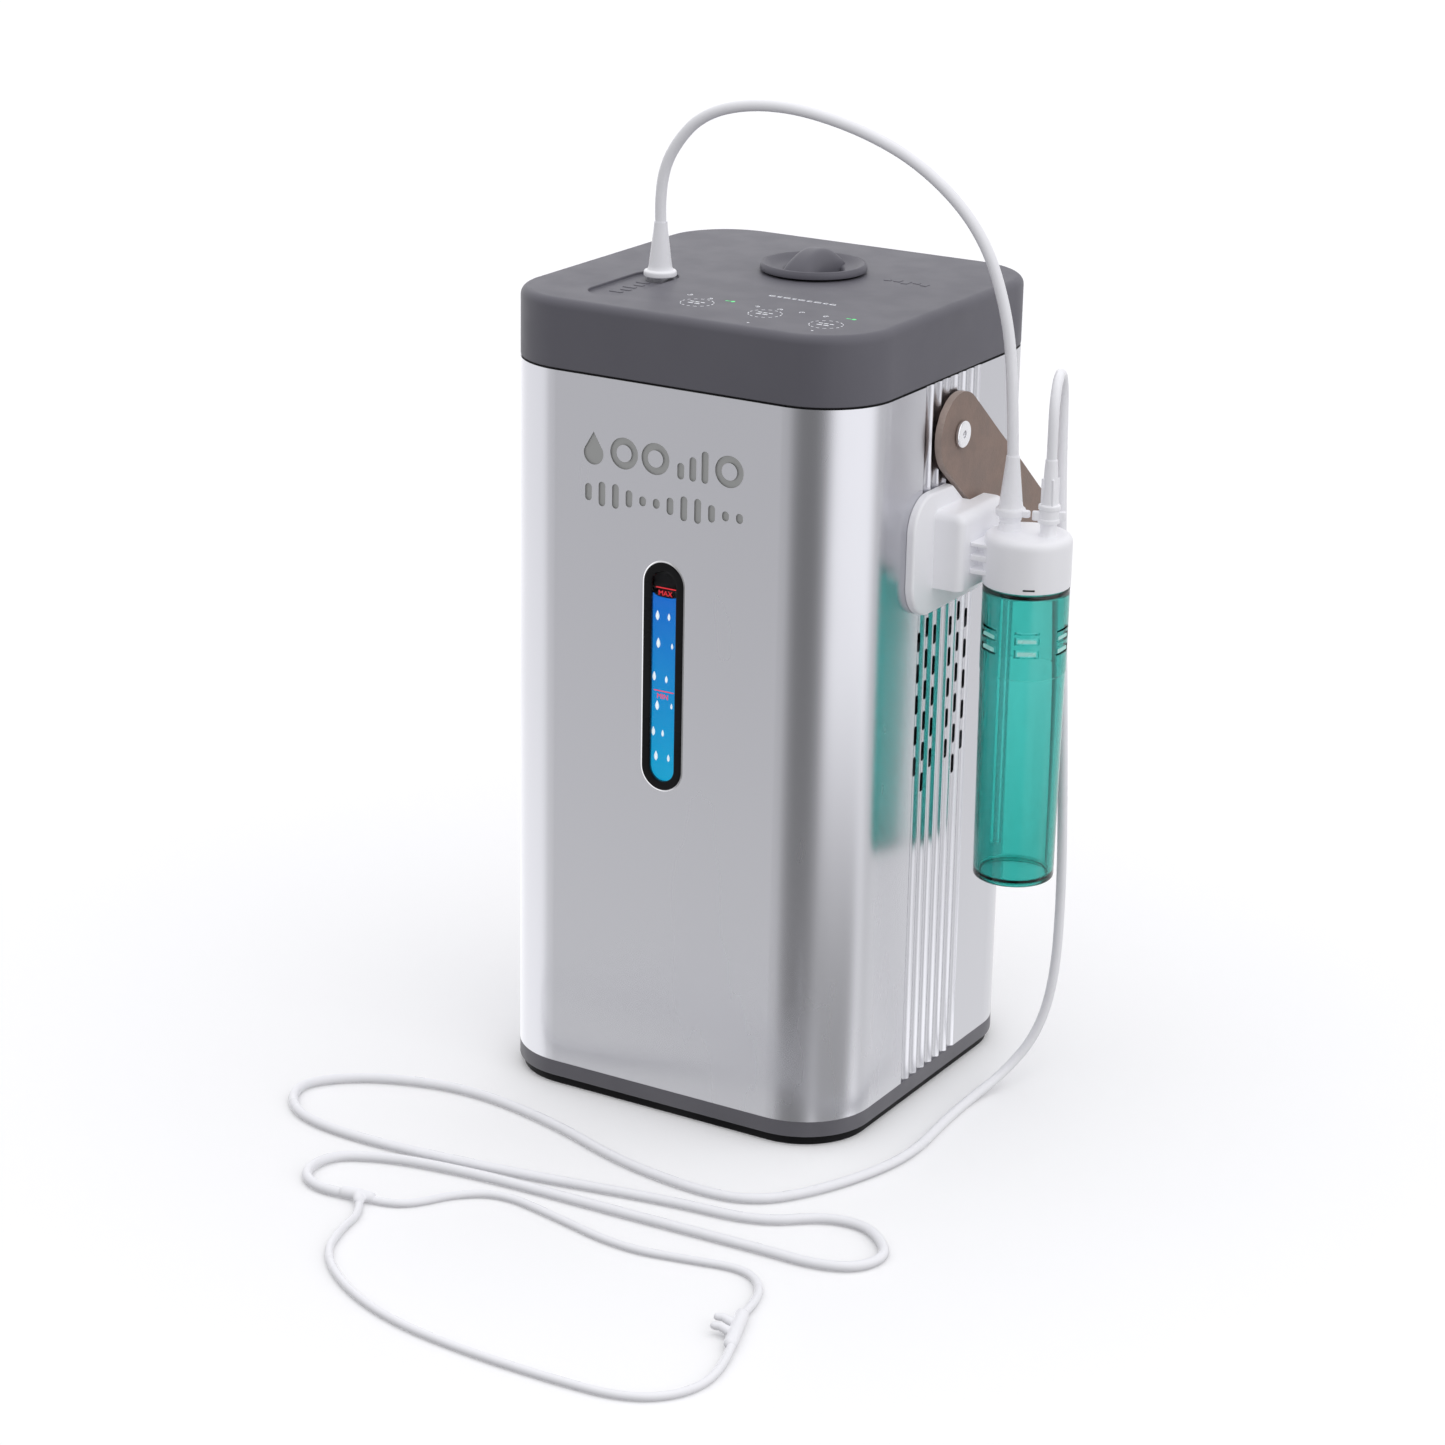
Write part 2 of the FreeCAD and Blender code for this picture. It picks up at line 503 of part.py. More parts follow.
# ---------------------------------------------------------------- jar bracket
plate = block(HALF, HALF + PLATE_T, -PLATE_W / 2, PLATE_W / 2, PLATE_LOW, PLATE_TOP)
plate = soften(plate, PLATE_R, lambda e: abs(e.Vertexes[0].X - e.Vertexes[-1].X) > 1)
plate = soften(plate, 1.4, lambda e: min(v.X for v in e.Vertexes) > HALF + PLATE_T - 0.01)
bulk = block(HALF, BLOCK_OUT, -BLOCK_W / 2, BLOCK_W / 2, BLOCK_LOW, BLOCK_TOP)
bulk = soften(bulk, 5.0, lambda e: min(v.Z for v in e.Vertexes) > BLOCK_TOP - 0.01
              and abs(e.Vertexes[0].X - e.Vertexes[-1].X) < 1 and e.Vertexes[0].X > BLOCK_OUT - 0.1)
bulk = soften(bulk, 4.0, lambda e: abs(e.Vertexes[0].X - e.Vertexes[-1].X) > 8
              and min(v.Z for v in e.Vertexes) > BLOCK_TOP - 6)
bracket = plate.fuse(bulk)
# Room for the strap, which lies between the sleeve and the raised block.
room = block(HALF - 1, STRAP_IN + STRAP_T + 2.7, 0, 200, -STRAP_W / 2 - STRAP_CLEAR, 80)
room = room.fuse(rod(STRAP_W / 2 + STRAP_CLEAR, STRAP_T + 5, HALF - 1, 0, 0, V(1, 0, 0)))
bracket = bracket.cut(strap_frame(room))
for side in (-1, 1):
    bracket = bracket.cut(rod(BRACKET_SCREW_R, 12, HALF, side * BRACKET_SCREW_Y, BRACKET_SCREW_Z, V(1, 0, 0)))
save("jar_bracket", bracket.removeSplitter())

screws = []
for side in (-1, 1):
    y = side * BRACKET_SCREW_Y
    shank = rod(BRACKET_SCREW_R, 13.5, HALF - WALL, y, BRACKET_SCREW_Z, V(1, 0, 0))
    head = rod(3.8, 2.6, HALF - WALL - 2.6, y, BRACKET_SCREW_Z, V(1, 0, 0))
    screws.append(shank.fuse(head).removeSplitter())
save("bracket_screws", Part.makeCompound(screws))

# ---------------------------------------------------------------- jar cap with its arm
jar_cap = rod(JAR_CAP_R, JAR_CAP_TOP - JAR_CAP_LOW, JAR_X, JAR_Y, JAR_CAP_LOW)
jar_cap = soften(jar_cap, 4.0, lambda e: e.Length > 100 and e.Vertexes[0].Z > JAR_CAP_TOP - 0.1)
arm = block(BLOCK_OUT, JAR_X, -ARM_W / 2, ARM_W / 2, ARM_LOW, ARM_TOP)
for low, high in ((256.0, 260.0), (262.4, 266.2)):
    for y0, y1 in ((-ARM_W / 2 - 1, -ARM_W / 2 + 7), (ARM_W / 2 - 7, ARM_W / 2 + 1)):
        arm = arm.cut(block(BLOCK_OUT + 0.6, JAR_X - 12, y0, y1, low, high))
jar_cap = jar_cap.fuse(arm)
jar_cap = jar_cap.cut(rod(JAR_CAP_R - JAR_CAP_WALL, JAR_CAP_TOP - JAR_CAP_ROOF - JAR_CAP_LOW,
                          JAR_X, JAR_Y, JAR_CAP_LOW))
IN_X = JAR_X - PORT_X
OUTLET_X = JAR_X + PORT_X
jar_cap = jar_cap.fuse([rod(4.9, 6.1, IN_X, 0, JAR_CAP_TOP), rod(2.4, 16, IN_X, 0, JAR_CAP_TOP + 6),
                        rod(3.6, 5.7, OUTLET_X, 0, JAR_CAP_TOP), rod(2.2, 18, OUTLET_X, 0, JAR_CAP_TOP + 5)])
jar_cap = jar_cap.cut([rod(1.3, 40, IN_X, 0, JAR_CAP_TOP - 10), rod(1.2, 40, OUTLET_X, 0, JAR_CAP_TOP - 10)])
save("jar_cap", jar_cap.removeSplitter())

# Seal, jar and dip tube.
ROOF = JAR_CAP_TOP - JAR_CAP_ROOF
NECK_OUT = JAR_CAP_R - JAR_CAP_WALL - JAR_NECK_GAP
save("jar_seal", ring(NECK_OUT - 0.2, NECK_OUT - 2.6, JAR_NECK_TOP, ROOF, JAR_X, JAR_Y))
RIM = JAR_CAP_LOW - 0.3
STEP = 211.0
jar = cone(JAR_LOW_R, JAR_TOP_R - 0.3, STEP - JAR_LOW, JAR_X, JAR_Y, JAR_LOW)
jar = soften(jar, 3.0, lambda e: e.Length > 100 and e.Vertexes[0].Z < JAR_LOW + 0.1)
jar = jar.fuse([rod(JAR_TOP_R, RIM - STEP, JAR_X, JAR_Y, STEP), rod(NECK_OUT, JAR_NECK_TOP - RIM, JAR_X, JAR_Y, RIM)])
bore_r = NECK_OUT - JAR_WALL
wide_r = JAR_TOP_R - JAR_WALL
shoulder = RIM - 4.0
inside = cone(JAR_LOW_R - JAR_WALL, wide_r, STEP - JAR_LOW - JAR_FLOOR, JAR_X, JAR_Y, JAR_LOW + JAR_FLOOR)
inside = inside.fuse([rod(wide_r, shoulder - STEP, JAR_X, JAR_Y, STEP),
                      cone(wide_r, bore_r, wide_r - bore_r, JAR_X, JAR_Y, shoulder),
                      rod(bore_r, JAR_NECK_TOP - shoulder + 1, JAR_X, JAR_Y, shoulder)])
jar = jar.cut(inside)
# Three groups of grips face forwards and outwards, where fingers reach round the jar.
for k in (2, 3, 4):
    for low, high in GRIP_ROWS:
        pocket = block(-GRIP_W / 2, GRIP_W / 2, JAR_TOP_R - GRIP_D, JAR_TOP_R + 2, low, high)
        pocket.rotate(V(0, 0, 0), V(0, 0, 1), 60 * k + 30)
        pocket.translate(V(JAR_X, JAR_Y, 0))
        jar = jar.cut(pocket)
save("jar", jar.removeSplitter())
DIP_LOW = 128.0
dip = ring(2.5, 1.3, DIP_LOW, ROOF, IN_X, 0)
save("dip_tube", dip)

# ---------------------------------------------------------------- electrical and gas parts
# Membrane cell stack with two end plates and tie bolts.
SX, SY, SZ = -14.0, 0.0, 58.0
stack = block(SX - 22, SX + 22, SY - 30, SY + 30, SZ - 30, SZ + 30)
for x0 in (SX - 32, SX + 22):
    stack = stack.fuse(block(x0, x0 + 10, SY - 36, SY + 36, SZ - 36, SZ + 36))
for k in range(9):
    groove = block(SX - 20 + 5 * k - 0.6, SX - 20 + 5 * k + 0.6, SY - 40, SY + 40, SZ - 40, SZ + 40)
    groove = groove.cut(block(SX - 40, SX + 40, SY - 29, SY + 29, SZ - 29, SZ + 29))
    stack = stack.cut(groove)
bolts = [rod(2.5, 72, SX - 36, SY + a * 32, SZ + b * 32, V(1, 0, 0)) for a in (-1, 1) for b in (-1, 1)]
feet = [block(x0, x0 + 10, SY - 25, SY + 25, TRAY_FLOOR, SZ - 36) for x0 in (SX - 32, SX + 22)]
save("cell_stack", joined(stack, bolts + feet))

supply = block(-46, 44, -78, -42, TRAY_FLOOR + 4, TRAY_FLOOR + 7)
lumps = [block(-44, -30, -74, -50, TRAY_FLOOR + 7, 40), block(-24, 2, -74, -46, TRAY_FLOOR + 7, 36),
         rod(7, 24, 14, -62, TRAY_FLOOR + 7), rod(7, 24, 30, -62, TRAY_FLOOR + 7),
         block(36, 42, -76, -46, TRAY_FLOOR + 7, 44)]
posts = [rod(3, 4, x, y, TRAY_FLOOR) for x in (-42, 40) for y in (-74, -46)]
save("power_supply", joined(supply, lumps + posts))

pump = rod(13, 34, 36, 4, TRAY_FLOOR)
pump = pump.fuse([block(22, 50, -10, 18, TRAY_FLOOR + 34, TRAY_FLOOR + 50), rod(3, 8, 36, 4, TRAY_FLOOR + 50),
                  rod(3, 9, 36, 18, TRAY_FLOOR + 42, V(0, 1, 0))])
save("water_pump", pump.removeSplitter())

separator = rod(15, 114, -69, -22, 156)
separator = soften(separator, 3, lambda e: e.Length > 80)
separator = separator.fuse([block(-60, -TANK_X, -30, -14, 200, 224), rod(3, 12, -69, -22, 270),
                            rod(3, 12, -69, -22, 144)])
save("gas_separator", separator.removeSplitter())
cartridge = rod(14, 100, -68, 26, 160)
cartridge = cartridge.fuse([rod(11, 8, -68, 26, 260), block(-60, -TANK_X, 18, 34, 196, 220),
                            rod(3, 8, -68, 26, 268), rod(3, 10, -68, 26, 150)])
save("resin_cartridge", cartridge.removeSplitter())

pcb = block(-45, 45, TANK_Y1 + 5, TANK_Y1 + 6.6, 166, 286)
stand = [rod(3, 5, x, TANK_Y1, z, V(0, 1, 0)) for x in (-38, 38) for z in (172, 280)]
lumps = [block(-36, -6, TANK_Y1 + 6.6, TANK_Y1 + 20, 180, 200), block(10, 34, TANK_Y1 + 6.6, TANK_Y1 + 14, 178, 206),
         block(-20, 8, TANK_Y1 + 6.6, TANK_Y1 + 9, 222, 250), block(-38, 30, TANK_Y1 + 6.6, TANK_Y1 + 17, 264, 274)]
lumps += [rod(5, 16, 30, TANK_Y1 + 6.6, 222 + 13 * k, V(0, 1, 0)) for k in range(3)]
save("control_board", joined(pcb, stand + lumps))

# ---------------------------------------------------------------- fan behind the vents
FX1 = HALF - WALL
FX0 = FX1 - FAN_T
frame = block(FX0, FX1, -FAN_W / 2, FAN_W / 2, FAN_Z - FAN_W / 2, FAN_Z + FAN_W / 2)
frame = soften(frame, 4, lambda e: abs(e.Vertexes[0].X - e.Vertexes[-1].X) > 1)
frame = frame.cut(rod(FAN_BORE, FAN_T, FX0, 0, FAN_Z, V(1, 0, 0)))
spokes = [block(FX0, FX0 + 2.4, -FAN_BORE - 0.5, FAN_BORE + 0.5, FAN_Z - 1.5, FAN_Z + 1.5),
          block(FX0, FX0 + 2.4, -1.5, 1.5, FAN_Z - FAN_BORE - 0.5, FAN_Z + FAN_BORE + 0.5),
          rod(11, 2.4, FX0, 0, FAN_Z, V(1, 0, 0)), rod(FAN_SHAFT_R, 11, FX0, 0, FAN_Z, V(1, 0, 0))]
frame = frame.fuse(spokes)
frame = frame.cut([rod(2.1, FAN_T, FX0, a * 25, FAN_Z + b * 25, V(1, 0, 0)) for a in (-1, 1) for b in (-1, 1)])
save("fan_frame", frame.removeSplitter())

rotor = rod(11, 9.6, FX0 + 3.4, 0, FAN_Z, V(1, 0, 0))
blades = []
for k in range(7):
    blade = Part.makeBox(11, 18, 1.4, V(-5.5, 9.5, -0.7))
    blade.rotate(V(0, 0, 0), V(0, 1, 0), 38)
    blade.translate(V(FX0 + 8.4, 0, 0))
    blade.rotate(V(0, 0, 0), V(1, 0, 0), 360.0 * k / 7)
    blade.translate(V(0, 0, FAN_Z))
    blades.append(blade)
rotor = rotor.fuse(blades).common(rod(FAN_BORE - 1, 9.6, FX0 + 3.4, 0, FAN_Z, V(1, 0, 0)))
rotor = rotor.cut(rod(FAN_SHAFT_R + FAN_GAP, 8.4, FX0 + 3, 0, FAN_Z, V(1, 0, 0)))
save("fan_rotor", rotor.removeSplitter())

# ---------------------------------------------------------------- mains inlet, switch and drain
x0, x1, z0, z1 = INLET
inlet = block(x0, x1, HALF - 28, HALF, z0, z1)
inlet = inlet.fuse(soften(block(x0 - 3, x1 + 3, HALF, HALF + 2, z0 - 3, z1 + 3), 3,
                          lambda e: abs(e.Vertexes[0].Y - e.Vertexes[-1].Y) > 1))
inlet = inlet.cut(block(x0 + 2, x1 - 2, HALF - 16, HALF + 3, z0 + 15, z1 - 2))
inlet = inlet.cut(block(x0 + 2, x1 - 2, HALF - 22, HALF + 3, z0 + 2, z0 + 11))
mid = (x0 + x1) / 2
pins = [block(mid - 1, mid + 1, HALF - 28, HALF - 4, z1 - 8.5, z1 - 4.5)]
pins += [block(mid + a * 7 - 1, mid + a * 7 + 1, HALF - 28, HALF - 4, z0 + 17.5, z0 + 21.5) for a in (-1, 1)]
inlet = inlet.fuse(pins)
inlet = inlet.cut(block(x0 + 6, x1 - 6, HALF + 1, HALF + 3, z0 + 10, z0 + 15))
save("mains_inlet", inlet.removeSplitter())
drawer = block(x0 + 2.2, x1 - 2.2, HALF - 20, HALF + 2, z0 + 2.2, z0 + 10.8)
drawer = drawer.fuse(block(x0 + 2.2, x1 - 2.2, HALF + 2, HALF + 3.6, z0 + 2.2, z0 + 10.8))
drawer = drawer.cut([rod(2.8, 15, mid + a * 6, HALF - 18, z0 + 11, V(0, 1, 0)) for a in (-1, 1)])
save("fuse_drawer", drawer.removeSplitter())

x0, x1, z0, z1 = SWITCH
ROCK_Y = HALF - 2.0
ROCK_Z = (z0 + z1) / 2
ROCK_PIN = 1.2
frame = block(x0, x1, HALF - 18, HALF, z0, z1)
frame = frame.fuse(block(x0 - 1.5, x1 + 1.5, HALF, HALF + 1.6, z0 - 1.5, z1 + 1.5))
frame = frame.cut(block(x0 + 1.6, x1 - 1.6, HALF - 11.5, HALF + 2, z0 + 1, z1 - 1))
frame = frame.cut(rod(ROCK_PIN + PIVOT_GAP, x1 - x0 - 1.4, x0 + 0.7, ROCK_Y, ROCK_Z, V(1, 0, 0)))
tabs = [block(x0 + 4, x1 - 4, HALF - 24, HALF - 18, ROCK_Z + 6 * k - 0.4, ROCK_Z + 6 * k + 0.4) for k in (-1, 0, 1)]
save("switch_frame", joined(frame, tabs))
rocker = rod(8.2, x1 - x0 - 3.6, x0 + 1.8, ROCK_Y, ROCK_Z, V(1, 0, 0))
for tilt in (-9, 9):
    face = block(x0, x1, 3.4, 20, -20, 20)
    face.rotate(V(0, 0, 0), V(1, 0, 0), tilt)
    face.translate(V(0, ROCK_Y, ROCK_Z))
    rocker = rocker.cut(face)
rocker = rocker.cut(block(x0, x1, ROCK_Y - 20, ROCK_Y - 3, z0, z1))
rocker = rocker.fuse(rod(ROCK_PIN, x1 - x0 - 1.8, x0 + 0.9, ROCK_Y, ROCK_Z, V(1, 0, 0)))
rocker.rotate(V(0, ROCK_Y, ROCK_Z), V(1, 0, 0), 8)
save("rocker", rocker.removeSplitter())

dx, dz = DRAIN
valve = rod(9, 2, dx, HALF, dz, V(0, 1, 0))
valve = valve.fuse([rod(6, 20, dx, HALF - 20, dz, V(0, 1, 0)), rod(8, 4, dx, HALF - WALL - 4, dz, V(0, 1, 0)),
                    rod(3.2, 7, dx, HALF + 2, dz, V(0, 1, 0))])
save("drain_valve", valve.removeSplitter())
knob = rod(8, 6, dx, HALF + 2.4, dz, V(0, 1, 0))
knob = knob.fuse(block(dx - 2.2, dx + 2.2, HALF + 3.4, HALF + 8.4, dz, dz + 14))
knob = knob.cut(rod(3.2 + PIVOT_GAP, 20, dx, HALF, dz, V(0, 1, 0)))
save("drain_knob", knob.removeSplitter())

# ---------------------------------------------------------------- inner hoses
water_path = [(30, 10, 140.5), (30, 10, 124), (31.5, 9, 104), (36.5, 5.5, 86), (36, 4, 66)]
save("water_hose", tube(water_path, 7.0))
gas_path = [(-69, -22, 282), (-69.2, -21.6, 296), (-66, -23, 314), (-54.5, -24.6, 326), (-44.6, -25.8, 338),
            (OUT_X, OUT_Y, 345.8)]
save("gas_hose", tube(gas_path, 7.0))

# ---------------------------------------------------------------- gas tube outside
GAS = [(-43.4, -26.1, 391.0), (-44.2, -26.2, 405.0), (-39.5, -25.5, 423.5), (-23.5, -23.0, 442.0),
       (7.5, -18.0, 447.9), (44.0, -12.1, 440.9), (76.1, -7.0, 426.2), (102.5, -2.8, 400.5),
       (114.8, -0.8, 366.3), (118.6, -0.2, 333.0), (119.8, 0.0, 304.0)]
save("gas_tube", tube(GAS, GAS_OD))
END_Z = CAP_TOP + 0.5
end = ring(7.3, 2.6, END_Z, END_Z + 2.6, OUT_X, OUT_Y)
end = end.fuse(cone(5.4, 2.9, 22.4, OUT_X, OUT_Y, END_Z + 1.0))
end = end.cut([rod(2.6, 17.0, OUT_X, OUT_Y, END_Z - 1), rod(1.4, 40, OUT_X, OUT_Y, END_Z)])
save("tube_end_top", end.removeSplitter())
JAR_END = JAR_CAP_TOP + 6.1
end = ring(6.6, 2.4, JAR_END, JAR_END + 3.4, IN_X, 0)
end = end.fuse([cone(5.4, 2.9, 24.4, IN_X, 0, JAR_END + 2.0), block(IN_X, IN_X + 9, -2, 2, JAR_END, JAR_END + 3.4)])
end = end.cut([rod(2.4, 16.5, IN_X, 0, JAR_END - 0.5), rod(1.4, 40, IN_X, 0, JAR_END)])
save("tube_end_jar", end.removeSplitter())

# ---------------------------------------------------------------- nasal cannula
COLLAR = JAR_CAP_TOP + 5.7
end = rod(4.8, 8, OUTLET_X, 0, COLLAR)
lugs = block(-7.3, 7.3, -1.5, 1.5, COLLAR + 1, COLLAR + 5)
lugs.rotate(V(0, 0, 0), V(0, 0, 1), 30)
lugs.translate(V(OUTLET_X, 0, 0))
end = end.fuse([lugs, cone(3.9, 2.7, 20, OUTLET_X, 0, COLLAR + 8)])
for k in range(4):
    vane = block(0, 4.2, -0.5, 0.5, COLLAR + 8, COLLAR + 20)
    vane.rotate(V(0, 0, 0), V(0, 0, 1), 45 + 90 * k)
    vane.translate(V(OUTLET_X, 0, 0))
    end = end.fuse(vane)
end = end.cut([rod(2.2, 18, OUTLET_X, 0, COLLAR - 0.7), rod(1.2, 60, OUTLET_X, 0, COLLAR)])
save("cannula_plug", end.removeSplitter())

R1 = CANNULA_OD / 2
MAIN = [(138.2, 0.0, 305.0), (138.7, -0.9, 316.5), (137.9, 0.7, 330.0), (135.2, 8.9, 339.6),
        (130.9, 21.4, 339.6), (128.0, 30.2, 330.2), (128.0, 31.0, 316.0), (128.9, 30.4, 292.0),
        (130.6, 31.4, 247.0), (133.0, 33.4, 196.0), (135.0, 35.0, 146.0), (136.2, 36.6, 96.0),
        (135.2, 36.6, 52.0), (129.5, 32.5, 24.5), (119.5, 20.5, 7.5), (114.6, 1.0, R1),
        (115.4, -28.0, R1), (119.6, -68.0, R1), (113.5, -97.0, R1), (101.5, -125.0, R1),
        (86.0, -146.0, R1), (62.0, -152.0, R1), (16.0, -146.0, R1), (-30.5, -128.5, R1),
        (-81.0, -119.5, R1), (-119.5, -129.3, R1), (-139.5, -142.5, R1), (-149.5, -156.5, R1),
        (-144.5, -172.0, R1), (-127.5, -185.3, R1), (-93.0, -189.0, R1), (-43.0, -184.0, R1),
        (4.5, -176.2, R1), (54.0, -166.6, R1), (96.0, -163.2, R1), (117.0, -144.0, R1),
        (134.5, -141.5, R1), (146.5, -148.5, R1), (157.0, -161.5, R1), (151.5, -177.5, R1),
        (134.0, -184.0, R1), (112.0, -184.0, R1), (78.0, -185.6, R1), (30.0, -187.6, R1),
        (-20.0, -189.4, R1), (-57.0, -194.2, R1), (-77.0, -200.0, R1), (-94.0, -210.0, R1),
        (-94.5, -230.0, R1), (-77.5, -239.5, R1), (-64.6, -235.6, R1)]
save("cannula_tube", tube(MAIN, CANNULA_OD))
R2 = BRANCH_OD / 2
BRANCH_A = [(-54.0, -234.2, R2), (-45.5, -233.6, R2), (-36.0, -226.5, R2), (-27.0, -210.5, R2),
            (-10.5, -199.2, R2), (18.0, -204.3, R2), (59.0, -214.0, R2), (91.0, -207.3, R2),
            (109.0, -203.0, R2), (121.8, -207.3, R2), (131.0, -222.0, R2), (132.8, -240.0, 2.6)]
BRANCH_B = [(-56.8, -239.6, R2), (-50.5, -247.5, R2), (-48.5, -264.0, R2), (-41.0, -285.0, R2),
            (-17.0, -304.5, R2), (16.0, -317.5, R2), (54.0, -322.0, R2), (97.0, -322.3, R2),
            (129.0, -319.5, R2), (146.0, -304.5, R2), (149.0, -282.0, R2), (141.8, -262.0, 2.6)]
save("branch_tube_a", tube(BRANCH_A, BRANCH_OD))
save("branch_tube_b", tube(BRANCH_B, BRANCH_OD))


def leg(start, finish, r0, r1):
    way = V(*finish).sub(V(*start))
    if r0 == r1:
        return Part.makeCylinder(r0, way.Length, V(*start), way)
    return Part.makeCone(r0, r1, way.Length, V(*start), way)


ZY = 2.8
hub = leg((-68.5, -236.9, ZY), (-58.5, -234.6, ZY), 2.8, 2.8)
hub = hub.fuse([leg((-60.5, -235.2, ZY), (-52.5, -234.2, ZY), 2.8, 2.4),
                leg((-60.5, -235.2, ZY), (-55.6, -241.1, ZY), 2.8, 2.4),
                Part.makeSphere(2.8, V(-59.8, -235.4, ZY))])
hub = hub.common(block(-100, 0, -300, -200, 0, 20))
save("y_piece", hub.removeSplitter())
ZN = 2.9
nose = leg((132.4, -237.5, ZN), (142.0, -264.0, ZN), 2.9, 2.9)
for x, y in ((134.9, -247.6), (137.6, -254.8)):
    nose = nose.fuse([leg((x, y, ZN + 0.4), (x - 6.4, y + 0.9, ZN + 1.6), 2.1, 1.7),
                      leg((x - 6.0, y + 0.85, ZN + 1.5), (x - 9.4, y + 0.1, ZN + 1.4), 1.7, 1.5)])
save("nasal_piece", nose.common(block(100, 160, -300, -200, 0, 20)).removeSplitter())
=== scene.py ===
# %% [markdown]
# # A gas generator with a humidifier jar
# This lesson dresses a column-shaped hydrogen and oxygen generator. A CAD model gives the frame: one
# mesh per part, each riding on the body it moves with. We load that frame, place the camera and the
# tubes, mix the finishes, and then build the parts that deserve more than a plain solid.
# All lengths are metres, and the constant MM turns a maker's millimetres into them.

# %% Load the frame
import math
import bmesh
import bpy
import numpy as np
from mathutils import Matrix


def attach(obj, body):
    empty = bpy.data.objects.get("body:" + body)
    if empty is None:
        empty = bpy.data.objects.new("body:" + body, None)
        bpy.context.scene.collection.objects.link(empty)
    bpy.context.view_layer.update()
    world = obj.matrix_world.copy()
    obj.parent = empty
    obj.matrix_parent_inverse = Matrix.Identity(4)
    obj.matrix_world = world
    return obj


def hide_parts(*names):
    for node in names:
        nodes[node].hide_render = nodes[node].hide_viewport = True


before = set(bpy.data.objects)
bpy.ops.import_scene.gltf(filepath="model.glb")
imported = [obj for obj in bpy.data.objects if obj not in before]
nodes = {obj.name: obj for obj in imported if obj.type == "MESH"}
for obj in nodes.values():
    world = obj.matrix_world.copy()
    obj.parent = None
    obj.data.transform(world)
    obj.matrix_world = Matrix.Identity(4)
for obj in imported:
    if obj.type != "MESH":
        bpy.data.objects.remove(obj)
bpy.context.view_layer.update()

MM = 0.001
link = bpy.context.scene.collection.objects.link

# %% [markdown]
# ## Camera
# A product shot of a tall column is taken from a little above its top edge with a long lens, so the
# uprights stay almost parallel. The camera's turn is built as a matrix: its third column points from
# the subject back to the lens, its first column is level, and a small roll turns both.

# %% Place the camera
AZIMUTH, ELEVATION, ROLL = (math.radians(a) for a in (30.526, 19.035, 1.108))
LENS = 92.27
CAMERA_AT = (797.7, -1391.1, 713.5)

back = np.array([math.sin(AZIMUTH) * math.cos(ELEVATION), -math.cos(AZIMUTH) * math.cos(ELEVATION),
                 math.sin(ELEVATION)])
level = np.array([math.cos(AZIMUTH), math.sin(AZIMUTH), 0.0])
upright = np.cross(back, level)
turn = np.eye(4)
turn[:3, 0] = math.cos(ROLL) * level + math.sin(ROLL) * upright
turn[:3, 1] = math.cos(ROLL) * upright - math.sin(ROLL) * level
turn[:3, 2] = back
turn[:3, 3] = np.array(CAMERA_AT) * MM
camera = bpy.data.objects.new("camera", bpy.data.cameras.new("camera"))
camera.data.lens = LENS
camera.data.clip_end = 20.0
camera.matrix_world = Matrix(turn.tolist())
link(camera)
bpy.context.scene.camera = camera
print("camera at", [round(c, 3) for c in camera.location])

# %% [markdown]
# ## Tubes
# A vinyl tube has a fixed length and hangs or lies in one smooth curve. A NURBS spline does that with
# few control points: the curve is drawn towards them without passing through, so it can't kink. The
# points are the tube's route: out of a fitting, over and down, then along the surface that the
# column stands on. order_u is set after the points are added, because it can't exceed their number.

# %% Draw the tubes
GAS_ROUTE = [(-43.4, -26.1, 391), (-44.2, -26.2, 405), (-39.5, -25.5, 423.5), (-23.5, -23, 442),
             (7.5, -18, 447.9), (44, -12.1, 440.9), (76.1, -7, 426.2), (102.5, -2.8, 400.5),
             (114.8, -0.8, 366.3), (118.6, -0.2, 333), (119.8, 0, 304)]
CANNULA_ROUTE = [
    (138.2, 0, 305), (138.7, -0.9, 316.5), (137.9, 0.7, 330), (135.2, 8.9, 339.6),
    (130.9, 21.4, 339.6), (128, 30.2, 330.2), (128, 31, 316), (128.9, 30.4, 292),
    (130.6, 31.4, 247), (133, 33.4, 196), (135, 35, 146), (136.2, 36.6, 96),
    (135.2, 36.6, 52), (129.5, 32.5, 24.5), (119.5, 20.5, 7.5)]
CANNULA_FLOOR = [
    (114.6, 1), (115.4, -28), (119.6, -68), (113.5, -97), (101.5, -125),
    (86, -146), (62, -152), (16, -146), (-30.5, -128.5), (-81, -119.5),
    (-119.5, -129.3), (-139.5, -142.5), (-149.5, -156.5), (-144.5, -172), (-127.5, -185.3),
    (-93, -189), (-43, -184), (4.5, -176.2), (54, -166.6), (96, -163.2), (117, -144),
    (134.5, -141.5), (146.5, -148.5), (157, -161.5), (151.5, -177.5), (134, -184),
    (112, -184), (78, -185.6), (30, -187.6), (-20, -189.4), (-57, -194.2),
    (-77, -200), (-94, -210), (-94.5, -230), (-77.5, -239.5), (-64.6, -235.6)]
FRONT_BRANCH = [
    (-54, -234.2), (-45.5, -233.6), (-36, -226.5), (-27, -210.5), (-10.5, -199.2),
    (18, -204.3), (59, -214), (91, -207.3), (109, -203), (121.8, -207.3), (131, -222)]
REAR_BRANCH = [
    (-56.8, -239.6), (-50.5, -247.5), (-48.5, -264), (-41, -285), (-17, -304.5),
    (16, -317.5), (54, -322), (97, -322.3), (129, -319.5), (146, -304.5), (149, -282)]
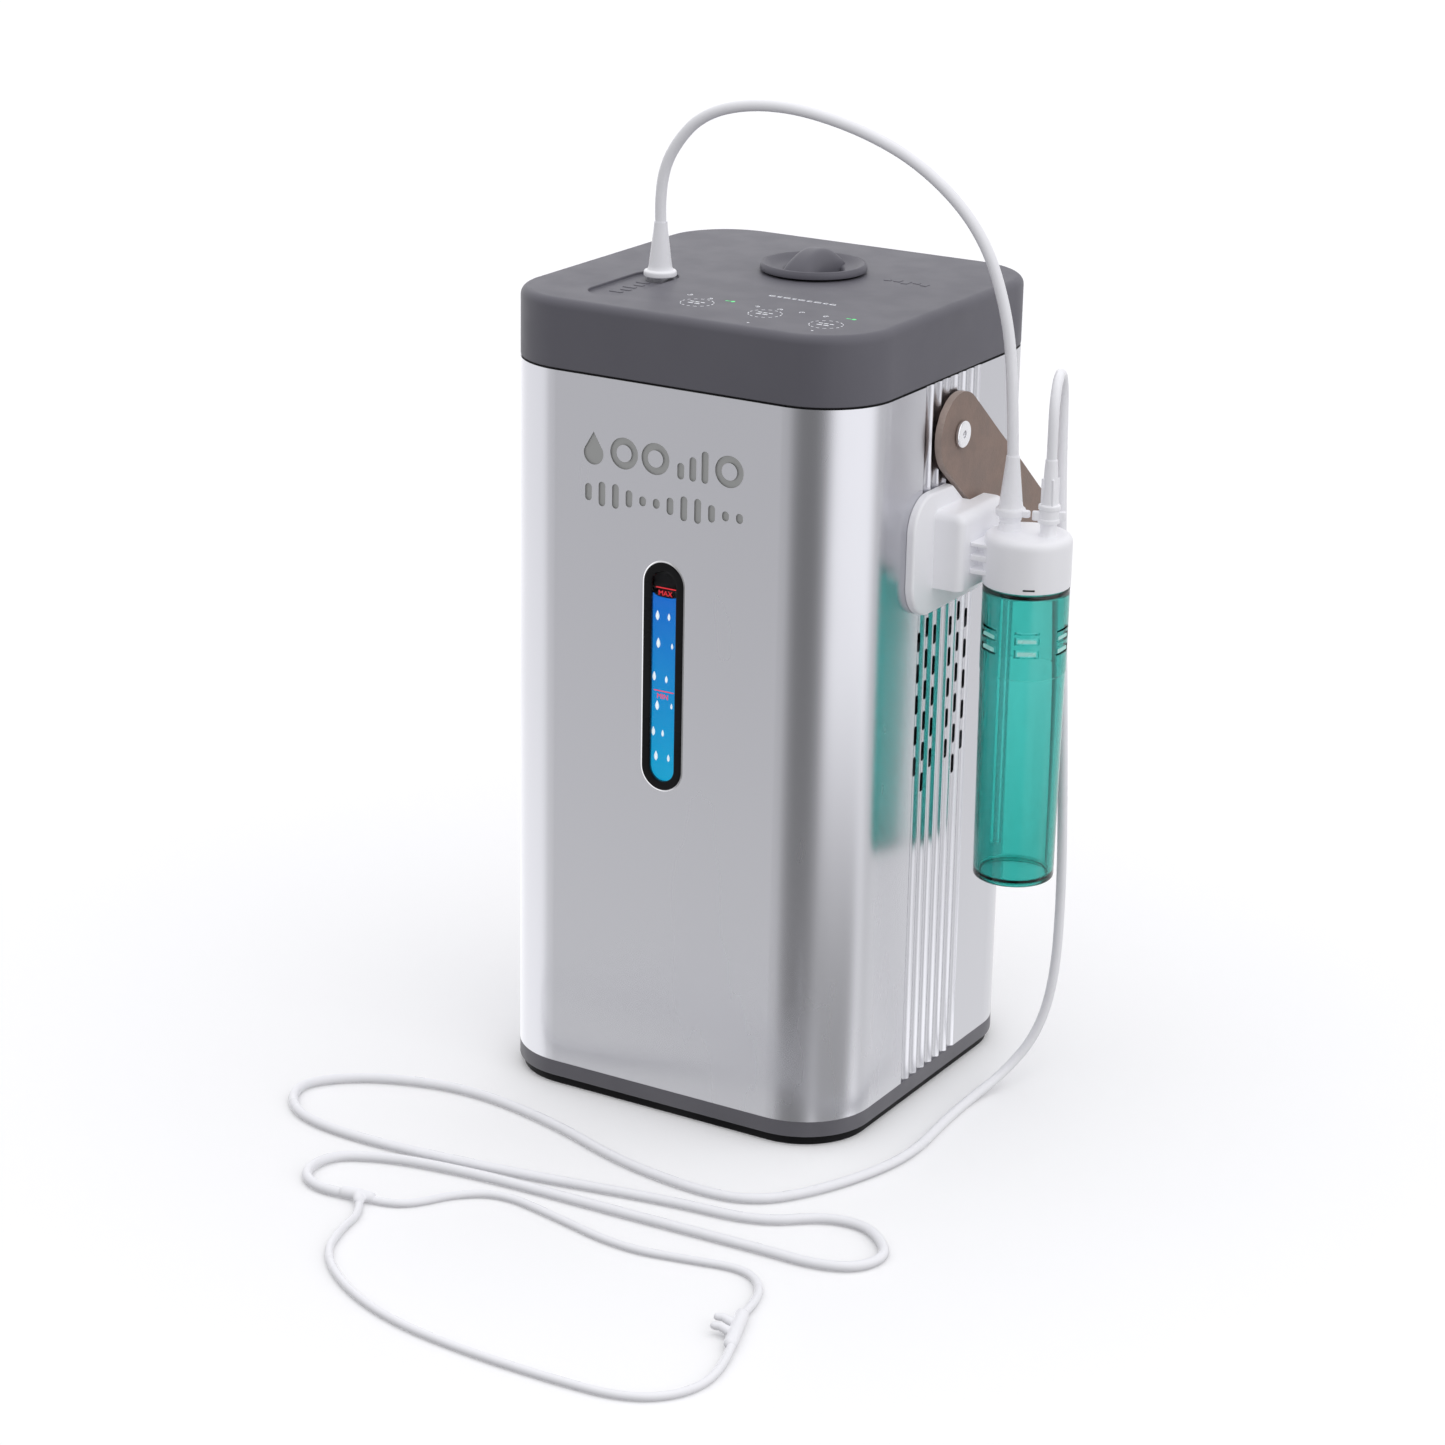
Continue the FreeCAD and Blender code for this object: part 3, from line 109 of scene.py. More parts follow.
NOSE_END_A, NOSE_END_B = (132.8, -240, 2.6), (141.8, -262, 2.6)
GAS_WIDE, CANNULA_WIDE, BRANCH_WIDE = 5.0, 4.5, 3.6     # outside diameters


def lying(points, diameter):
    """Route points on the surface: each x and y gets the height of the tube's centre."""
    return [(x, y, diameter / 2) for x, y in points]


def tube_curve(name, route, diameter, replaced):
    """One open NURBS spline through the route's control points, with a round section."""
    curve = bpy.data.curves.new(name, "CURVE")
    curve.dimensions = "3D"
    curve.bevel_depth = 1.0     # times each point's radius, which the bounding box counts too
    curve.bevel_resolution = 5
    curve.resolution_u = 10
    curve.use_fill_caps = True
    spline = curve.splines.new("NURBS")
    spline.points.add(len(route) - 1)
    spline.points.foreach_set("co", np.c_[np.array(route) * MM, np.ones(len(route))].ravel())
    spline.points.foreach_set("radius", np.full(len(route), diameter * MM / 2))
    spline.order_u = 3
    spline.use_endpoint_u = True
    tube = bpy.data.objects.new(name, curve)
    link(tube)
    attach(tube, "housing")
    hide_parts(replaced)
    return tube


gas_line = tube_curve("gas_line", GAS_ROUTE, GAS_WIDE, "gas_tube")
cannula_line = tube_curve("cannula_line", CANNULA_ROUTE + lying(CANNULA_FLOOR, CANNULA_WIDE),
                          CANNULA_WIDE, "cannula_tube")
front_branch = tube_curve("front_branch", lying(FRONT_BRANCH, BRANCH_WIDE) + [NOSE_END_A],
                          BRANCH_WIDE, "branch_tube_a")
rear_branch = tube_curve("rear_branch", lying(REAR_BRANCH, BRANCH_WIDE) + [NOSE_END_B],
                         BRANCH_WIDE, "branch_tube_b")
tubes = [gas_line, cannula_line, front_branch, rear_branch]
print("tubes:", [t.name for t in tubes])

# %% [markdown]
# ## Floor and light
# A pale floor catches a soft shadow. Everything else comes from the world: a studio of white walls
# with a dark gap and a bright softbox near the camera. Brushed or satin metal is mostly a blurred
# picture of its surroundings, so the studio is mixed twice: one plain version lights dull surfaces,
# and one with the gap and the softbox is seen only in reflections. A lobe, a bump in the light around
# one compass direction, is a cosine between the ray and that direction, spread by a smooth step.

# %% A helper that adds shader nodes
def add(tree, kind, out=0, inputs=None, **settings):
    """Adds one node. settings are its menus; inputs are numbers, colours or other nodes' outputs."""
    made = tree.nodes.new("ShaderNode" + kind)
    for key, value in settings.items():
        setattr(made, key, value)
    for key, value in (inputs or {}).items():
        if isinstance(value, bpy.types.NodeSocket):
            tree.links.new(value, made.inputs[key])
        else:
            made.inputs[key].default_value = value
    return made.outputs[out]


def maths(tree, operation, a, b=0.0):
    """One sum on two numbers or outputs."""
    return add(tree, "Math", inputs={0: a, 1: b}, operation=operation)


def ramp(value, low, high, to_low=0.0, to_high=1.0, smooth=True):
    """value between low and high is carried to between to_low and to_high, and held outside."""
    return add(value.id_data, "MapRange", inputs={0: value, 1: low, 2: high, 3: to_low, 4: to_high},
               interpolation_type="SMOOTHSTEP" if smooth else "LINEAR")


def blend_colours(share, first, second):
    """A mix of two colours by share, 0 for all of the first."""
    return add(share.id_data, "Mix", out=2, inputs={0: share, 6: first, 7: second}, data_type="RGBA")


# %% Build the studio
world = bpy.data.worlds.new("studio")
bpy.context.scene.world = world
world.use_nodes = True
sky = world.node_tree
sky.nodes.clear()
ray = add(sky, "TexCoord", out="Generated")
ray_parts = add(sky, "SeparateXYZ", inputs={0: ray}).node.outputs
flat_ray = add(sky, "CombineXYZ", inputs={0: ray_parts[0], 1: ray_parts[1]})
flat_ray = add(sky, "VectorMath", inputs={0: flat_ray}, operation="NORMALIZE")


def lobe(tree, direction, degrees, inner, outer):
    """1 where direction is within inner degrees of the compass direction, 0 past outer."""
    way = (math.cos(math.radians(degrees)), math.sin(math.radians(degrees)), 0.0)
    near = add(tree, "VectorMath", out=1, inputs={0: direction, 1: way}, operation="DOT_PRODUCT")
    return ramp(near, math.cos(math.radians(outer)), math.cos(math.radians(inner)))


DULL_BASE, DULL_TOP, DULL_RIGHT = 0.20, 1.08, 0.47
dull = maths(sky, "MULTIPLY_ADD", maths(sky, "MAXIMUM", ray_parts[2], 0.0), DULL_TOP)
dull.node.inputs[2].default_value = DULL_BASE
dull = maths(sky, "ADD", dull, maths(sky, "MULTIPLY", maths(sky, "MAXIMUM", ray_parts[0], 0.0), DULL_RIGHT))
WALLS = 0.74
LOBES = [(100.0, 20.0, 75.0, 0.22), (-9.0, 24.0, 44.0, 0.76), (170.0, 44.0, 60.0, 0.48),
         (-77.0, 6.0, 36.0, -0.48)]     # direction, inner, outer, light: the last is the dark gap
shine = WALLS
for degrees, inner, outer, gain in LOBES:
    bright = maths(sky, "MULTIPLY", lobe(sky, flat_ray, degrees, inner, outer), gain)
    shine = maths(sky, "ADD", shine, bright)
glossy = add(sky, "LightPath", out="Is Glossy Ray")
seen = add(sky, "LightPath", out="Is Camera Ray")
through = add(sky, "LightPath", out="Is Transmission Ray")
strength = add(sky, "Mix", inputs={0: glossy, 2: dull, 3: shine}, data_type="FLOAT")
plain = maths(sky, "MAXIMUM", seen, through)
strength = add(sky, "Mix", inputs={0: plain, 2: strength, 3: 1.0}, data_type="FLOAT")
COOL_WHITE = (0.985, 0.985, 1.0, 1.0)
light = add(sky, "Background", inputs={0: COOL_WHITE, 1: strength})
world_out = sky.nodes.new("ShaderNodeOutputWorld")
sky.links.new(light, world_out.inputs[0])
bpy.context.scene.view_settings.view_transform = "Standard"
print("studio built with", len(sky.nodes), "nodes")

# %% Lay the floor
def flat_square(name, half, height, material):
    """A level square that reaches half metres from the middle to each side."""
    mesh = bpy.data.meshes.new(name)
    corners = [(-half, -half, height), (half, -half, height), (half, half, height), (-half, half, height)]
    mesh.from_pydata(corners, [], [(0, 1, 2, 3)])
    mesh.materials.append(material)
    square = bpy.data.objects.new(name, mesh)
    link(square)
    return square


FLOOR_SPAN = 12.0
PAPER = {"Base Color": (0.97, 0.97, 0.98, 1), "Roughness": 0.9, "Specular IOR Level": 0.0,
         "Emission Color": (1, 1, 1, 1), "Emission Strength": 0.06}
paper = bpy.data.materials.new("backdrop_paper")
paper.use_nodes = True
for socket, value in PAPER.items():
    paper.node_tree.nodes["Principled BSDF"].inputs[socket].default_value = value
floor = flat_square("floor", FLOOR_SPAN / 2, 0.0, paper)
floor.visible_glossy = False
floor.visible_diffuse = False
print("floor", FLOOR_SPAN, "m across")

# %% [markdown]
# The metal mirrors the ground in front of it. Near the corner that ground lies in shade, so a card that
# only reflections can see lies under the floor there as painted shade: dark near the column, fading
# out with distance and to both sides.

# %% Lay the dark card
CARD_HALF, CARD_HEIGHT = 0.95, -0.001
CARD_WAY, CARD_INNER, CARD_OUTER = -14.0, 20.0, 48.0    # degrees
CARD_CORNER = (0.080, -0.080, 0)
CARD_NEAR, CARD_FAR, CARD_DARK = 0.12, 0.86, 0.70
shade = bpy.data.materials.new("card_shade")
shade.use_nodes = True
tree = shade.node_tree
tree.nodes.clear()
spot = add(tree, "TexCoord", out="Object")
spot = add(tree, "VectorMath", inputs={0: spot, 1: CARD_CORNER}, operation="SUBTRACT")
spot = add(tree, "VectorMath", inputs={0: spot, 1: (1, 1, 0)}, operation="MULTIPLY")
reach = add(tree, "VectorMath", out=1, inputs={0: spot}, operation="LENGTH")
heading = add(tree, "VectorMath", inputs={0: spot}, operation="NORMALIZE")
sector = lobe(tree, heading, CARD_WAY, CARD_INNER, CARD_OUTER)
cover = maths(tree, "MULTIPLY", sector, ramp(reach, CARD_NEAR, CARD_FAR, CARD_DARK, 0.0))
gap = add(tree, "BsdfTransparent")
black = add(tree, "Emission", inputs={0: (0.0, 0.0, 0.0, 1.0), 1: 0.0})
veil = add(tree, "MixShader", inputs={0: cover, 1: gap, 2: black})
tree.links.new(veil, tree.nodes.new("ShaderNodeOutputMaterial").inputs[0])
# painted shade, seen only in reflections
card = flat_square("floor_card", CARD_HALF, CARD_HEIGHT, shade)
for kind in ("camera", "diffuse", "transmission", "shadow", "volume_scatter"):
    setattr(card, "visible_" + kind, False)
print("card covers", CARD_OUTER * 2, "degrees")

# %% [markdown]
# ## Finishes
# Each finish starts as a Principled shader whose constants are set on its own sockets. What varies
# over the surface is then wired in: a fine grain raised as bump, a slow drift of colour, and a
# patchiness of the gloss, all from noise in Object coordinates, so they're true to size.

# %% Start a finish
def new_finish(name, colour, roughness, **sockets):
    """A material with a Principled shader, and its shader and Object coordinates."""
    material = bpy.data.materials.new(name)
    material.use_nodes = True
    tree = material.node_tree
    shader = tree.nodes["Principled BSDF"]
    shader.inputs["Base Color"].default_value = (*colour, 1.0)
    shader.inputs["Roughness"].default_value = roughness
    for key, value in sockets.items():
        shader.inputs[key.replace("_", " ")].default_value = value
    place = add(tree, "TexCoord", out="Object")
    return material, shader, place


def noise(place, scale, detail=2.0, stretch=(1, 1, 1), rough=0.5):
    """Noise with about scale bumps per metre, squeezed along the axes by stretch."""
    turned = add(place.id_data, "Mapping", inputs={"Vector": place, "Scale": stretch})
    return add(place.id_data, "TexNoise", inputs={"Vector": turned, "Scale": scale, "Detail": detail,
                                                  "Roughness": rough})


def wire(shader, socket, value):
    """Feeds an output to one of the shader's sockets."""
    shader.id_data.links.new(value, shader.inputs[socket])


def paint(shader, share, first, second):
    """The base colour goes from first to second by share."""
    wire(shader, "Base Color", blend_colours(share, first, second))


def raise_bump(shader, height, depth):
    """Turns a height from 0 to 1 into bump of that depth in millimetres."""
    bump = add(shader.id_data, "Bump", inputs={"Height": height, "Distance": depth * MM, "Strength": 1.0})
    wire(shader, "Normal", bump)


def toned(colour, share, lift=0.0):
    """A colour times share plus lift, with an alpha of 1."""
    return tuple(min(c * share + lift, 1.0) for c in colour) + (1.0,)


def moulded(name, colour, roughness, grain=2600.0, depth=0.02, drift=0.06, patch=0.06, **sockets):
    """Moulded plastic or rubber: a spark-eroded grain, slow colour drift and patchy gloss."""
    material, shader, place = new_finish(name, colour, roughness, **sockets)
    slow = noise(place, 22.0, 3.0)
    paint(shader, ramp(slow, 0.3, 0.7), toned(colour, 1 - drift), toned(colour, 1 + drift, 0.004))
    patches = noise(place, 60.0, 4.0)
    wire(shader, "Roughness", ramp(patches, 0.3, 0.7, max(roughness - patch, 0.02), roughness + patch))
    raise_bump(shader, noise(place, grain, 2.0), depth)
    return material


# %% [markdown]
# ### Anodised aluminium
# The sleeve is an extrusion that was bead-blasted and anodised: a satin metal whose pits are far too
# fine to see one by one, with the faintest draw lines along its length. Metal gets its colour from
# its reflections, and on top of that a painted reflection makes the base colour lighter towards the
# foot. The floor of the engraving is left duller, so a mask in Object coordinates picks the skin
# below the front face there.

# %% Anodised aluminium
MARK_TOP, MARK_DEEP = -0.09 + 0.00003, -0.09 + 0.00062     # y of the engraving's mouth and past its floor
MARK_FOOT, MARK_HALF = 0.275, 0.046
MARK_ROUGHNESS, SLEEVE_ROUGHNESS = 0.62, 0.25
PAINTED_SHEEN_FOOT, PAINTED_SHEEN_HEAD, PAINTED_SHEEN_REACH = (0.67, 0.672, 0.705, 1), (0.583, 0.584, 0.618, 1), 0.33
MARK_COLOUR = (0.43, 0.435, 0.43, 1)
aluminium, shader, place = new_finish("anodised_aluminium", (0.60, 0.60, 0.635), SLEEVE_ROUGHNESS,
                                      Metallic=1.0)
tree = aluminium.node_tree
spots = add(tree, "SeparateXYZ", inputs={0: place}).node.outputs
in_mark = maths(tree, "LESS_THAN", maths(tree, "ABSOLUTE", spots[0]), MARK_HALF)
for axis, test, limit in ((1, "GREATER_THAN", MARK_TOP), (1, "LESS_THAN", MARK_DEEP),
                          (2, "GREATER_THAN", MARK_FOOT)):
    in_mark = maths(tree, "MULTIPLY", in_mark, maths(tree, test, spots[axis], limit))
lines = noise(place, 900.0, 2.0, (1, 1, 0.012))
cloud = ramp(noise(place, 30.0, 4.0, (1, 1, 0.25)), 0.3, 0.7, SLEEVE_ROUGHNESS - 0.02,
             SLEEVE_ROUGHNESS + 0.03)
rough_here = add(tree, "Mix", inputs={0: in_mark, 2: cloud, 3: MARK_ROUGHNESS}, data_type="FLOAT")
wire(shader, "Roughness", rough_here)
# painted reflection: the base colour goes lighter towards the foot of the sleeve
skin = blend_colours(ramp(spots[2], 0.0, PAINTED_SHEEN_REACH), PAINTED_SHEEN_FOOT, PAINTED_SHEEN_HEAD)
paint(shader, in_mark, skin, MARK_COLOUR)
pits = noise(place, 5200.0, 1.0)
raise_bump(shader, maths(tree, "ADD", maths(tree, "MULTIPLY", lines, 0.06), pits), 0.001)
print("aluminium has", len(tree.nodes), "nodes")

# %% [markdown]
# ### Plastics and rubbers
# The cap and base tray are one dark grey plastic with a soft touch coat. The jar's bracket and
# fittings are white, with a faint painted glow that brightens them. Rubber is nearly black and dull.

# %% Plastics and rubbers
soft_grey = moulded("soft_touch_grey", (0.135, 0.132, 0.155), 0.5, 3000.0, 0.008, 0.012, 0.03,
                    Specular_IOR_Level=0.3)
tray_grey = moulded("tray_grey", (0.135, 0.132, 0.150), 0.5, 2200.0, 0.02, 0.04)
# the white shell glows faintly: painted light that brightens every white part
glowing_white_shell = moulded("glowing_white_shell", (0.85, 0.85, 0.88), 0.38, 2400.0, 0.006, 0.01, 0.05,
                      Emission_Color=(0.9, 0.9, 0.95, 1), Emission_Strength=0.09)
black_rubber = moulded("black_rubber", (0.007, 0.007, 0.008), 0.6, 1500.0, 0.03, 0.2, Specular_IOR_Level=0.1)
black_shell = moulded("black_shell", (0.022, 0.022, 0.026), 0.42, 2300.0, 0.02, 0.15)
tank_shell = moulded("tank_natural", (0.72, 0.75, 0.75), 0.35, 900.0, 0.01, 0.03, Transmission_Weight=0.35)
# painted shade: a near-black for sheets that stand where there is only shade
painted_shade_black = moulded("painted_shade_black", (0.004, 0.004, 0.005), 0.5, 900.0, 0.004, 0.2, Specular_IOR_Level=0.05)
frame_black = moulded("frame_black", (0.005, 0.005, 0.006), 0.3, 1800.0, 0.003, 0.15, Specular_IOR_Level=0.12)
lamp_green = moulded("lamp_green", (0.03, 0.45, 0.12), 0.3, 900.0, 0.002, 0.1,
                     Emission_Color=(0.05, 0.9, 0.2, 1), Emission_Strength=0.6)
print("plastics and rubbers from", soft_grey.name, "to", lamp_green.name)

# %% Metals
def plated(name, colour, roughness, scale, stretch, drift=0.08):
    """A turned or rolled metal with fine tool marks along one way."""
    material, shader, place = new_finish(name, colour, roughness, Metallic=1.0)
    marks = noise(place, scale, 3.0, stretch)
    paint(shader, ramp(marks, 0.3, 0.7), toned(colour, 1 - drift), toned(colour, 1.0))
    wire(shader, "Roughness", ramp(marks, 0.2, 0.8, roughness * 0.8, roughness * 1.3))
    raise_bump(shader, marks, 0.004)
    return material


rolled_steel = plated("rolled_steel", (0.55, 0.55, 0.57), 0.35, 700.0, (1, 0.05, 1))
polished_steel = plated("polished_steel", (0.86, 0.86, 0.88), 0.16, 900.0, (0.2, 1, 1), 0.03)
brass = plated("brass", (0.72, 0.55, 0.28), 0.3, 800.0, (0.2, 1, 1))
circuit_green, shader, place = new_finish("circuit_board", (0.01, 0.09, 0.045), 0.35, Coat_Weight=0.4)
tracks = add(circuit_green.node_tree, "TexBrick", out=1, inputs={"Vector": place, "Scale": 160.0, "Mortar Size": 0.06})
paint(shader, tracks, (0.012, 0.10, 0.05, 1), (0.03, 0.19, 0.09, 1))
raise_bump(shader, tracks, 0.03)
print("metals:", rolled_steel.name, polished_steel.name, brass.name)

# %% [markdown]
# ### Leather
# The strap is a thick split of vegetable leather: a matt, faintly mottled face and a paler edge where
# it was cut. Voronoi cells, squeezed and softened by noise, give the pebbled grain.

# %% Leather
WOBBLE = 0.8 * MM


def leather_finish(name, colour, roughness):
    """Pebbled, mottled leather of one colour."""
    material, shader, place = new_finish(name, colour, roughness, Sheen_Weight=0.15)
    tree = material.node_tree
    push = add(tree, "TexNoise", out=1, inputs={"Vector": place, "Scale": 500.0})
    wobble = add(tree, "VectorMath", operation="MULTIPLY_ADD", inputs={0: push, 1: (WOBBLE,) * 3, 2: place})
    cells = add(tree, "TexVoronoi", inputs={"Vector": wobble, "Scale": 1150.0}, feature="F1")
    mottle = noise(place, 85.0, 6.0, rough=0.65)
    dark = toned(colour, 0.84)
    tone = blend_colours(ramp(mottle, 0.32, 0.68), dark, toned(colour, 1.12))
    paint(shader, ramp(cells, 0.45, 0.9, 0.0, 0.3), tone, dark)
    wire(shader, "Roughness", ramp(mottle, 0.3, 0.7, roughness - 0.08, roughness + 0.08))
    raise_bump(shader, maths(tree, "ADD", cells, maths(tree, "MULTIPLY", mottle, 0.4)), 0.05)
    return material


leather = leather_finish("strap_leather", (0.262, 0.182, 0.148), 0.62)
leather_edge = leather_finish("strap_cut_edge", (0.42, 0.33, 0.29), 0.75)
print("leather:", leather.name, "and", leather_edge.name)

# %% [markdown]
# ### Clear parts
# The jar is clear plastic tinted teal right through, so the colour deepens with the length of
# plastic that light crosses: pale where the wall is thin, dark where it's seen edge on. A Volume
# Absorption node does that. The lens is clear, and the soft tubes are a milky vinyl.

# %% Clear parts
def clear_finish(name, tint, roughness, ior, ripple=0.004):
    """Transparent moulding with a faint flow ripple in its skin."""
    material, shader, place = new_finish(name, tint, roughness, Transmission_Weight=1.0, IOR=ior)
    flow = noise(place, 120.0, 3.0, (1, 1, 0.3))
    paint(shader, ramp(flow, 0.3, 0.7), toned(tint, 1.0), toned(tint, 1.03, 0.01))
    raise_bump(shader, flow, ripple)
    return material


teal_clear = clear_finish("teal_clear", (0.80, 0.95, 0.94), 0.02, 1.46)
TEAL, TEAL_DENSITY = (0.042, 0.748, 0.712, 1), 780.0
tree = teal_clear.node_tree
soak = add(tree, "VolumeAbsorption", inputs={"Color": TEAL, "Density": TEAL_DENSITY})
wire(tree.nodes["Material Output"], "Volume", soak)
lens_clear = clear_finish("lens_clear", (0.97, 0.98, 0.99), 0.02, 1.1, 0.0005)
tip_clear = clear_finish("tip_clear", (0.97, 0.98, 0.99), 0.03, 1.08)


def vinyl_finish(name, colour):
    """Milky soft vinyl with a waxy skin. A faint glow stands for the light that it scatters inside."""
    material, shader, place = new_finish(name, colour, 0.3, IOR=1.3,
                                         Emission_Color=(0.86, 0.86, 0.93, 1), Emission_Strength=0.05)
    haze = noise(place, 60.0, 2.0)
    paint(shader, ramp(haze, 0.3, 0.7), toned(colour, 0.98), toned(colour, 1.0))
    wire(shader, "Roughness", ramp(haze, 0.3, 0.7, 0.24, 0.38))
    raise_bump(shader, noise(place, 300.0, 1.0), 0.001)
    return material


tube_vinyl = vinyl_finish("tube_vinyl", (0.91, 0.91, 0.94))
fitting_vinyl = vinyl_finish("fitting_vinyl", (0.92, 0.92, 0.95))
print("clear finishes:", teal_clear.name, lens_clear.name, tip_clear.name)

# %% [markdown]
# ## Dress the CAD parts
# Every part that keeps its CAD shape gets its finish here. Parts replaced later keep it hidden.

# %% Dress the CAD parts
DRESS = {
    aluminium: "sleeve", soft_grey: "top_cap filler_cap", tray_grey: "base_tray",
    black_rubber: "foot_ring seam_gasket filler_gasket jar_seal",
    black_shell: "window_bezel fan_frame fan_rotor mains_inlet fuse_drawer switch_frame rocker drain_knob "
                 "water_pump",
    glowing_white_shell: "jar_bracket jar_cap resin_cartridge tube_end_top tube_end_jar cannula_plug y_piece "
                 "level_float",
    lens_clear: "window_lens sight_block", tank_shell: "water_tank tank_lid filler_neck gas_separator",
    rolled_steel: "base_screws chassis_shelf float_stem bracket_screws cell_stack drain_valve outlet_nipple",
    polished_steel: "pivot_screw_left pivot_screw_right", brass: "pivot_bush_left pivot_bush_right",
    circuit_green: "touch_board backlight_board power_supply control_board", leather: "carry_strap",
    teal_clear: "jar", tip_clear: "dip_tube nasal_piece",
    tube_vinyl: "water_hose gas_hose gas_tube cannula_tube branch_tube_a branch_tube_b"}
for material, names in DRESS.items():
    for name in names.split():
        nodes[name].data.materials.clear()
        nodes[name].data.materials.append(material)
for tube in tubes:
    tube.data.materials.append(tube_vinyl)
bare = sorted(set(nodes) - set(" ".join(DRESS.values()).split()))
print("dressed", len(nodes) - len(bare), "nodes; bare:", bare)

# %% [markdown]
# ## Surfaces from grids
# Almost every moulded part here is a grid of points bent into shape: one direction of the grid runs
# along a profile, the other round an axis or along a path. Numpy works out all points at once, and
# one helper joins each four neighbours with a face. Rows that run upwards and columns that run
# anticlockwise give faces that look outwards. Four switches go with each grid: do its rows join up
# into a ring, do its columns, and is its first row or its last row closed with a cap.

# %% Grid helpers
SHEET, RING, ROD = (False, False, False, False), (True, True, False, False), (False, True, True, True)


def grid_faces(rows, cols, wrap_rows, wrap_cols):
    """Corner numbers of the faces between neighbouring rows and columns."""
    r = np.arange(rows if wrap_rows else rows - 1)[:, None]
    c = np.arange(cols if wrap_cols else cols - 1)[None, :]
    r2, c2 = (r + 1) % rows, (c + 1) % cols
    corners = np.broadcast_arrays(r * cols + c, r * cols + c2, r2 * cols + c2, r2 * cols + c)
    return np.stack(corners, -1).reshape(-1, 4)


def finish_piece(piece, body, finish, stands_for=(), sharp=38.0):
    """Smooth faces, creases sharper than an angle, finish, body and the CAD nodes it stands for."""
    piece.data.materials.append(finish)
    piece.data.shade_smooth()
    piece.data.set_sharp_from_angle(angle=math.radians(sharp))
    link(piece)
    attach(piece, body)
    if stands_for:
        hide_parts(*stands_for.split())
    return piece


def surface(name, grids, body, finish, stands_for=(), sharp=38.0):
    """One mesh from grids. Each is its points in millimetres and the four switches."""
    points, faces, count = [], [], 0
    for grid, wrap_rows, wrap_cols, cap_first, cap_last in grids:
        rows, cols = grid.shape[:2]
        points.append(grid.reshape(-1, 3))
        faces += (grid_faces(rows, cols, wrap_rows, wrap_cols) + count).tolist()
        corner = np.arange(cols) + count
        last = corner + (rows - 1) * cols
        count += rows * cols
        for wanted, row, first, second in ((cap_first, 0, np.roll(corner, -1), corner),
                                           (cap_last, rows - 1, last, np.roll(last, -1))):
            if wanted:
                points.append(grid[row].mean(axis=0, keepdims=True))
                faces += np.stack([np.full(cols, count), first, second], -1).tolist()
                count += 1
    mesh = bpy.data.meshes.new(name)
    mesh.from_pydata((np.concatenate(points) * MM).tolist(), [], faces)
    mesh.update()
    return finish_piece(bpy.data.objects.new(name, mesh), body, finish, stands_for, sharp)


def eased(corners, steps=6):
    """A profile through corners (radius, height, ease). Each corner is cut back by its ease along both
    sides and bridged with a parabola: (1-t)^2 first + 2t(1-t) corner + t^2 second."""
    table = np.array(corners, float)
    spot, ease = table[:, :2], table[:, 2:3]

    def towards(other):
        way = other - spot
        return spot + ease * way / np.maximum(np.linalg.norm(way, axis=1, keepdims=True), 1e-9)

    t = np.linspace(0, 1, steps)[None, :, None]
    first, second = towards(np.roll(spot, 1, 0)), towards(np.roll(spot, -1, 0))
    curve = (1 - t) ** 2 * first[:, None] + 2 * t * (1 - t) * spot[:, None] + t ** 2 * second[:, None]
    curve = curve.reshape(-1, 2)
    return curve[np.r_[True, np.linalg.norm(np.diff(curve, axis=0), axis=1) > 1e-5]]


def turned(corners, centre, turns=96, steps=6):
    """A profile turned round the upright axis through centre: x = r cos a, y = r sin a. A profile that
    starts or ends on the axis is closed there with a cap."""
    profile = eased(corners, steps)
    on_axis = profile[:, 0] < 1e-6
    open_first, open_last = bool(on_axis[0]), bool(on_axis[-1])
    profile = profile[~on_axis]
    angle = np.linspace(0, 2 * np.pi, turns, endpoint=False)
    out, up = profile[:, :1], profile[:, 1:]
    grid = np.stack([centre[0] + out * np.cos(angle), centre[1] + out * np.sin(angle), up + 0 * angle], -1)
    return grid, not (open_first or open_last), True, open_first, open_last


MERGE, FLAT, CREASE = 2e-6, math.radians(0.4), math.radians(25.0)


def softened(name, source, width, body, finish, steps=2):
    """A copy of a CAD part with its triangles merged, flat areas joined and sharp edges rounded."""
    work = bmesh.new()
    work.from_mesh(nodes[source].data)
    bmesh.ops.remove_doubles(work, verts=work.verts, dist=MERGE)
    bmesh.ops.dissolve_limit(work, angle_limit=FLAT, verts=work.verts, edges=work.edges)
    spots = [v.co[:] for v in work.verts]
    work.verts.index_update()
    mesh = bpy.data.meshes.new(name)
    mesh.from_pydata(spots, [], [[v.index for v in f.verts] for f in work.faces])
    work.free()
    piece = finish_piece(bpy.data.objects.new(name, mesh), body, finish, source)
    rounding = piece.modifiers.new("rounded_edges", "BEVEL")
    rounding.width = width * MM
    rounding.segments = steps
    rounding.limit_method = "ANGLE"
    rounding.angle_limit = CREASE
    rounding.use_clamp_overlap = False
    rounding.harden_normals = True
    return piece


print("grid helpers ready")

# %% [markdown]
# ## Housing
# The CAD mesh of a moulded part has knife-sharp edges, and real ones catch a line of light. Where the
# CAD shape is right, the copy only gets a small round on each edge with a Bevel modifier.

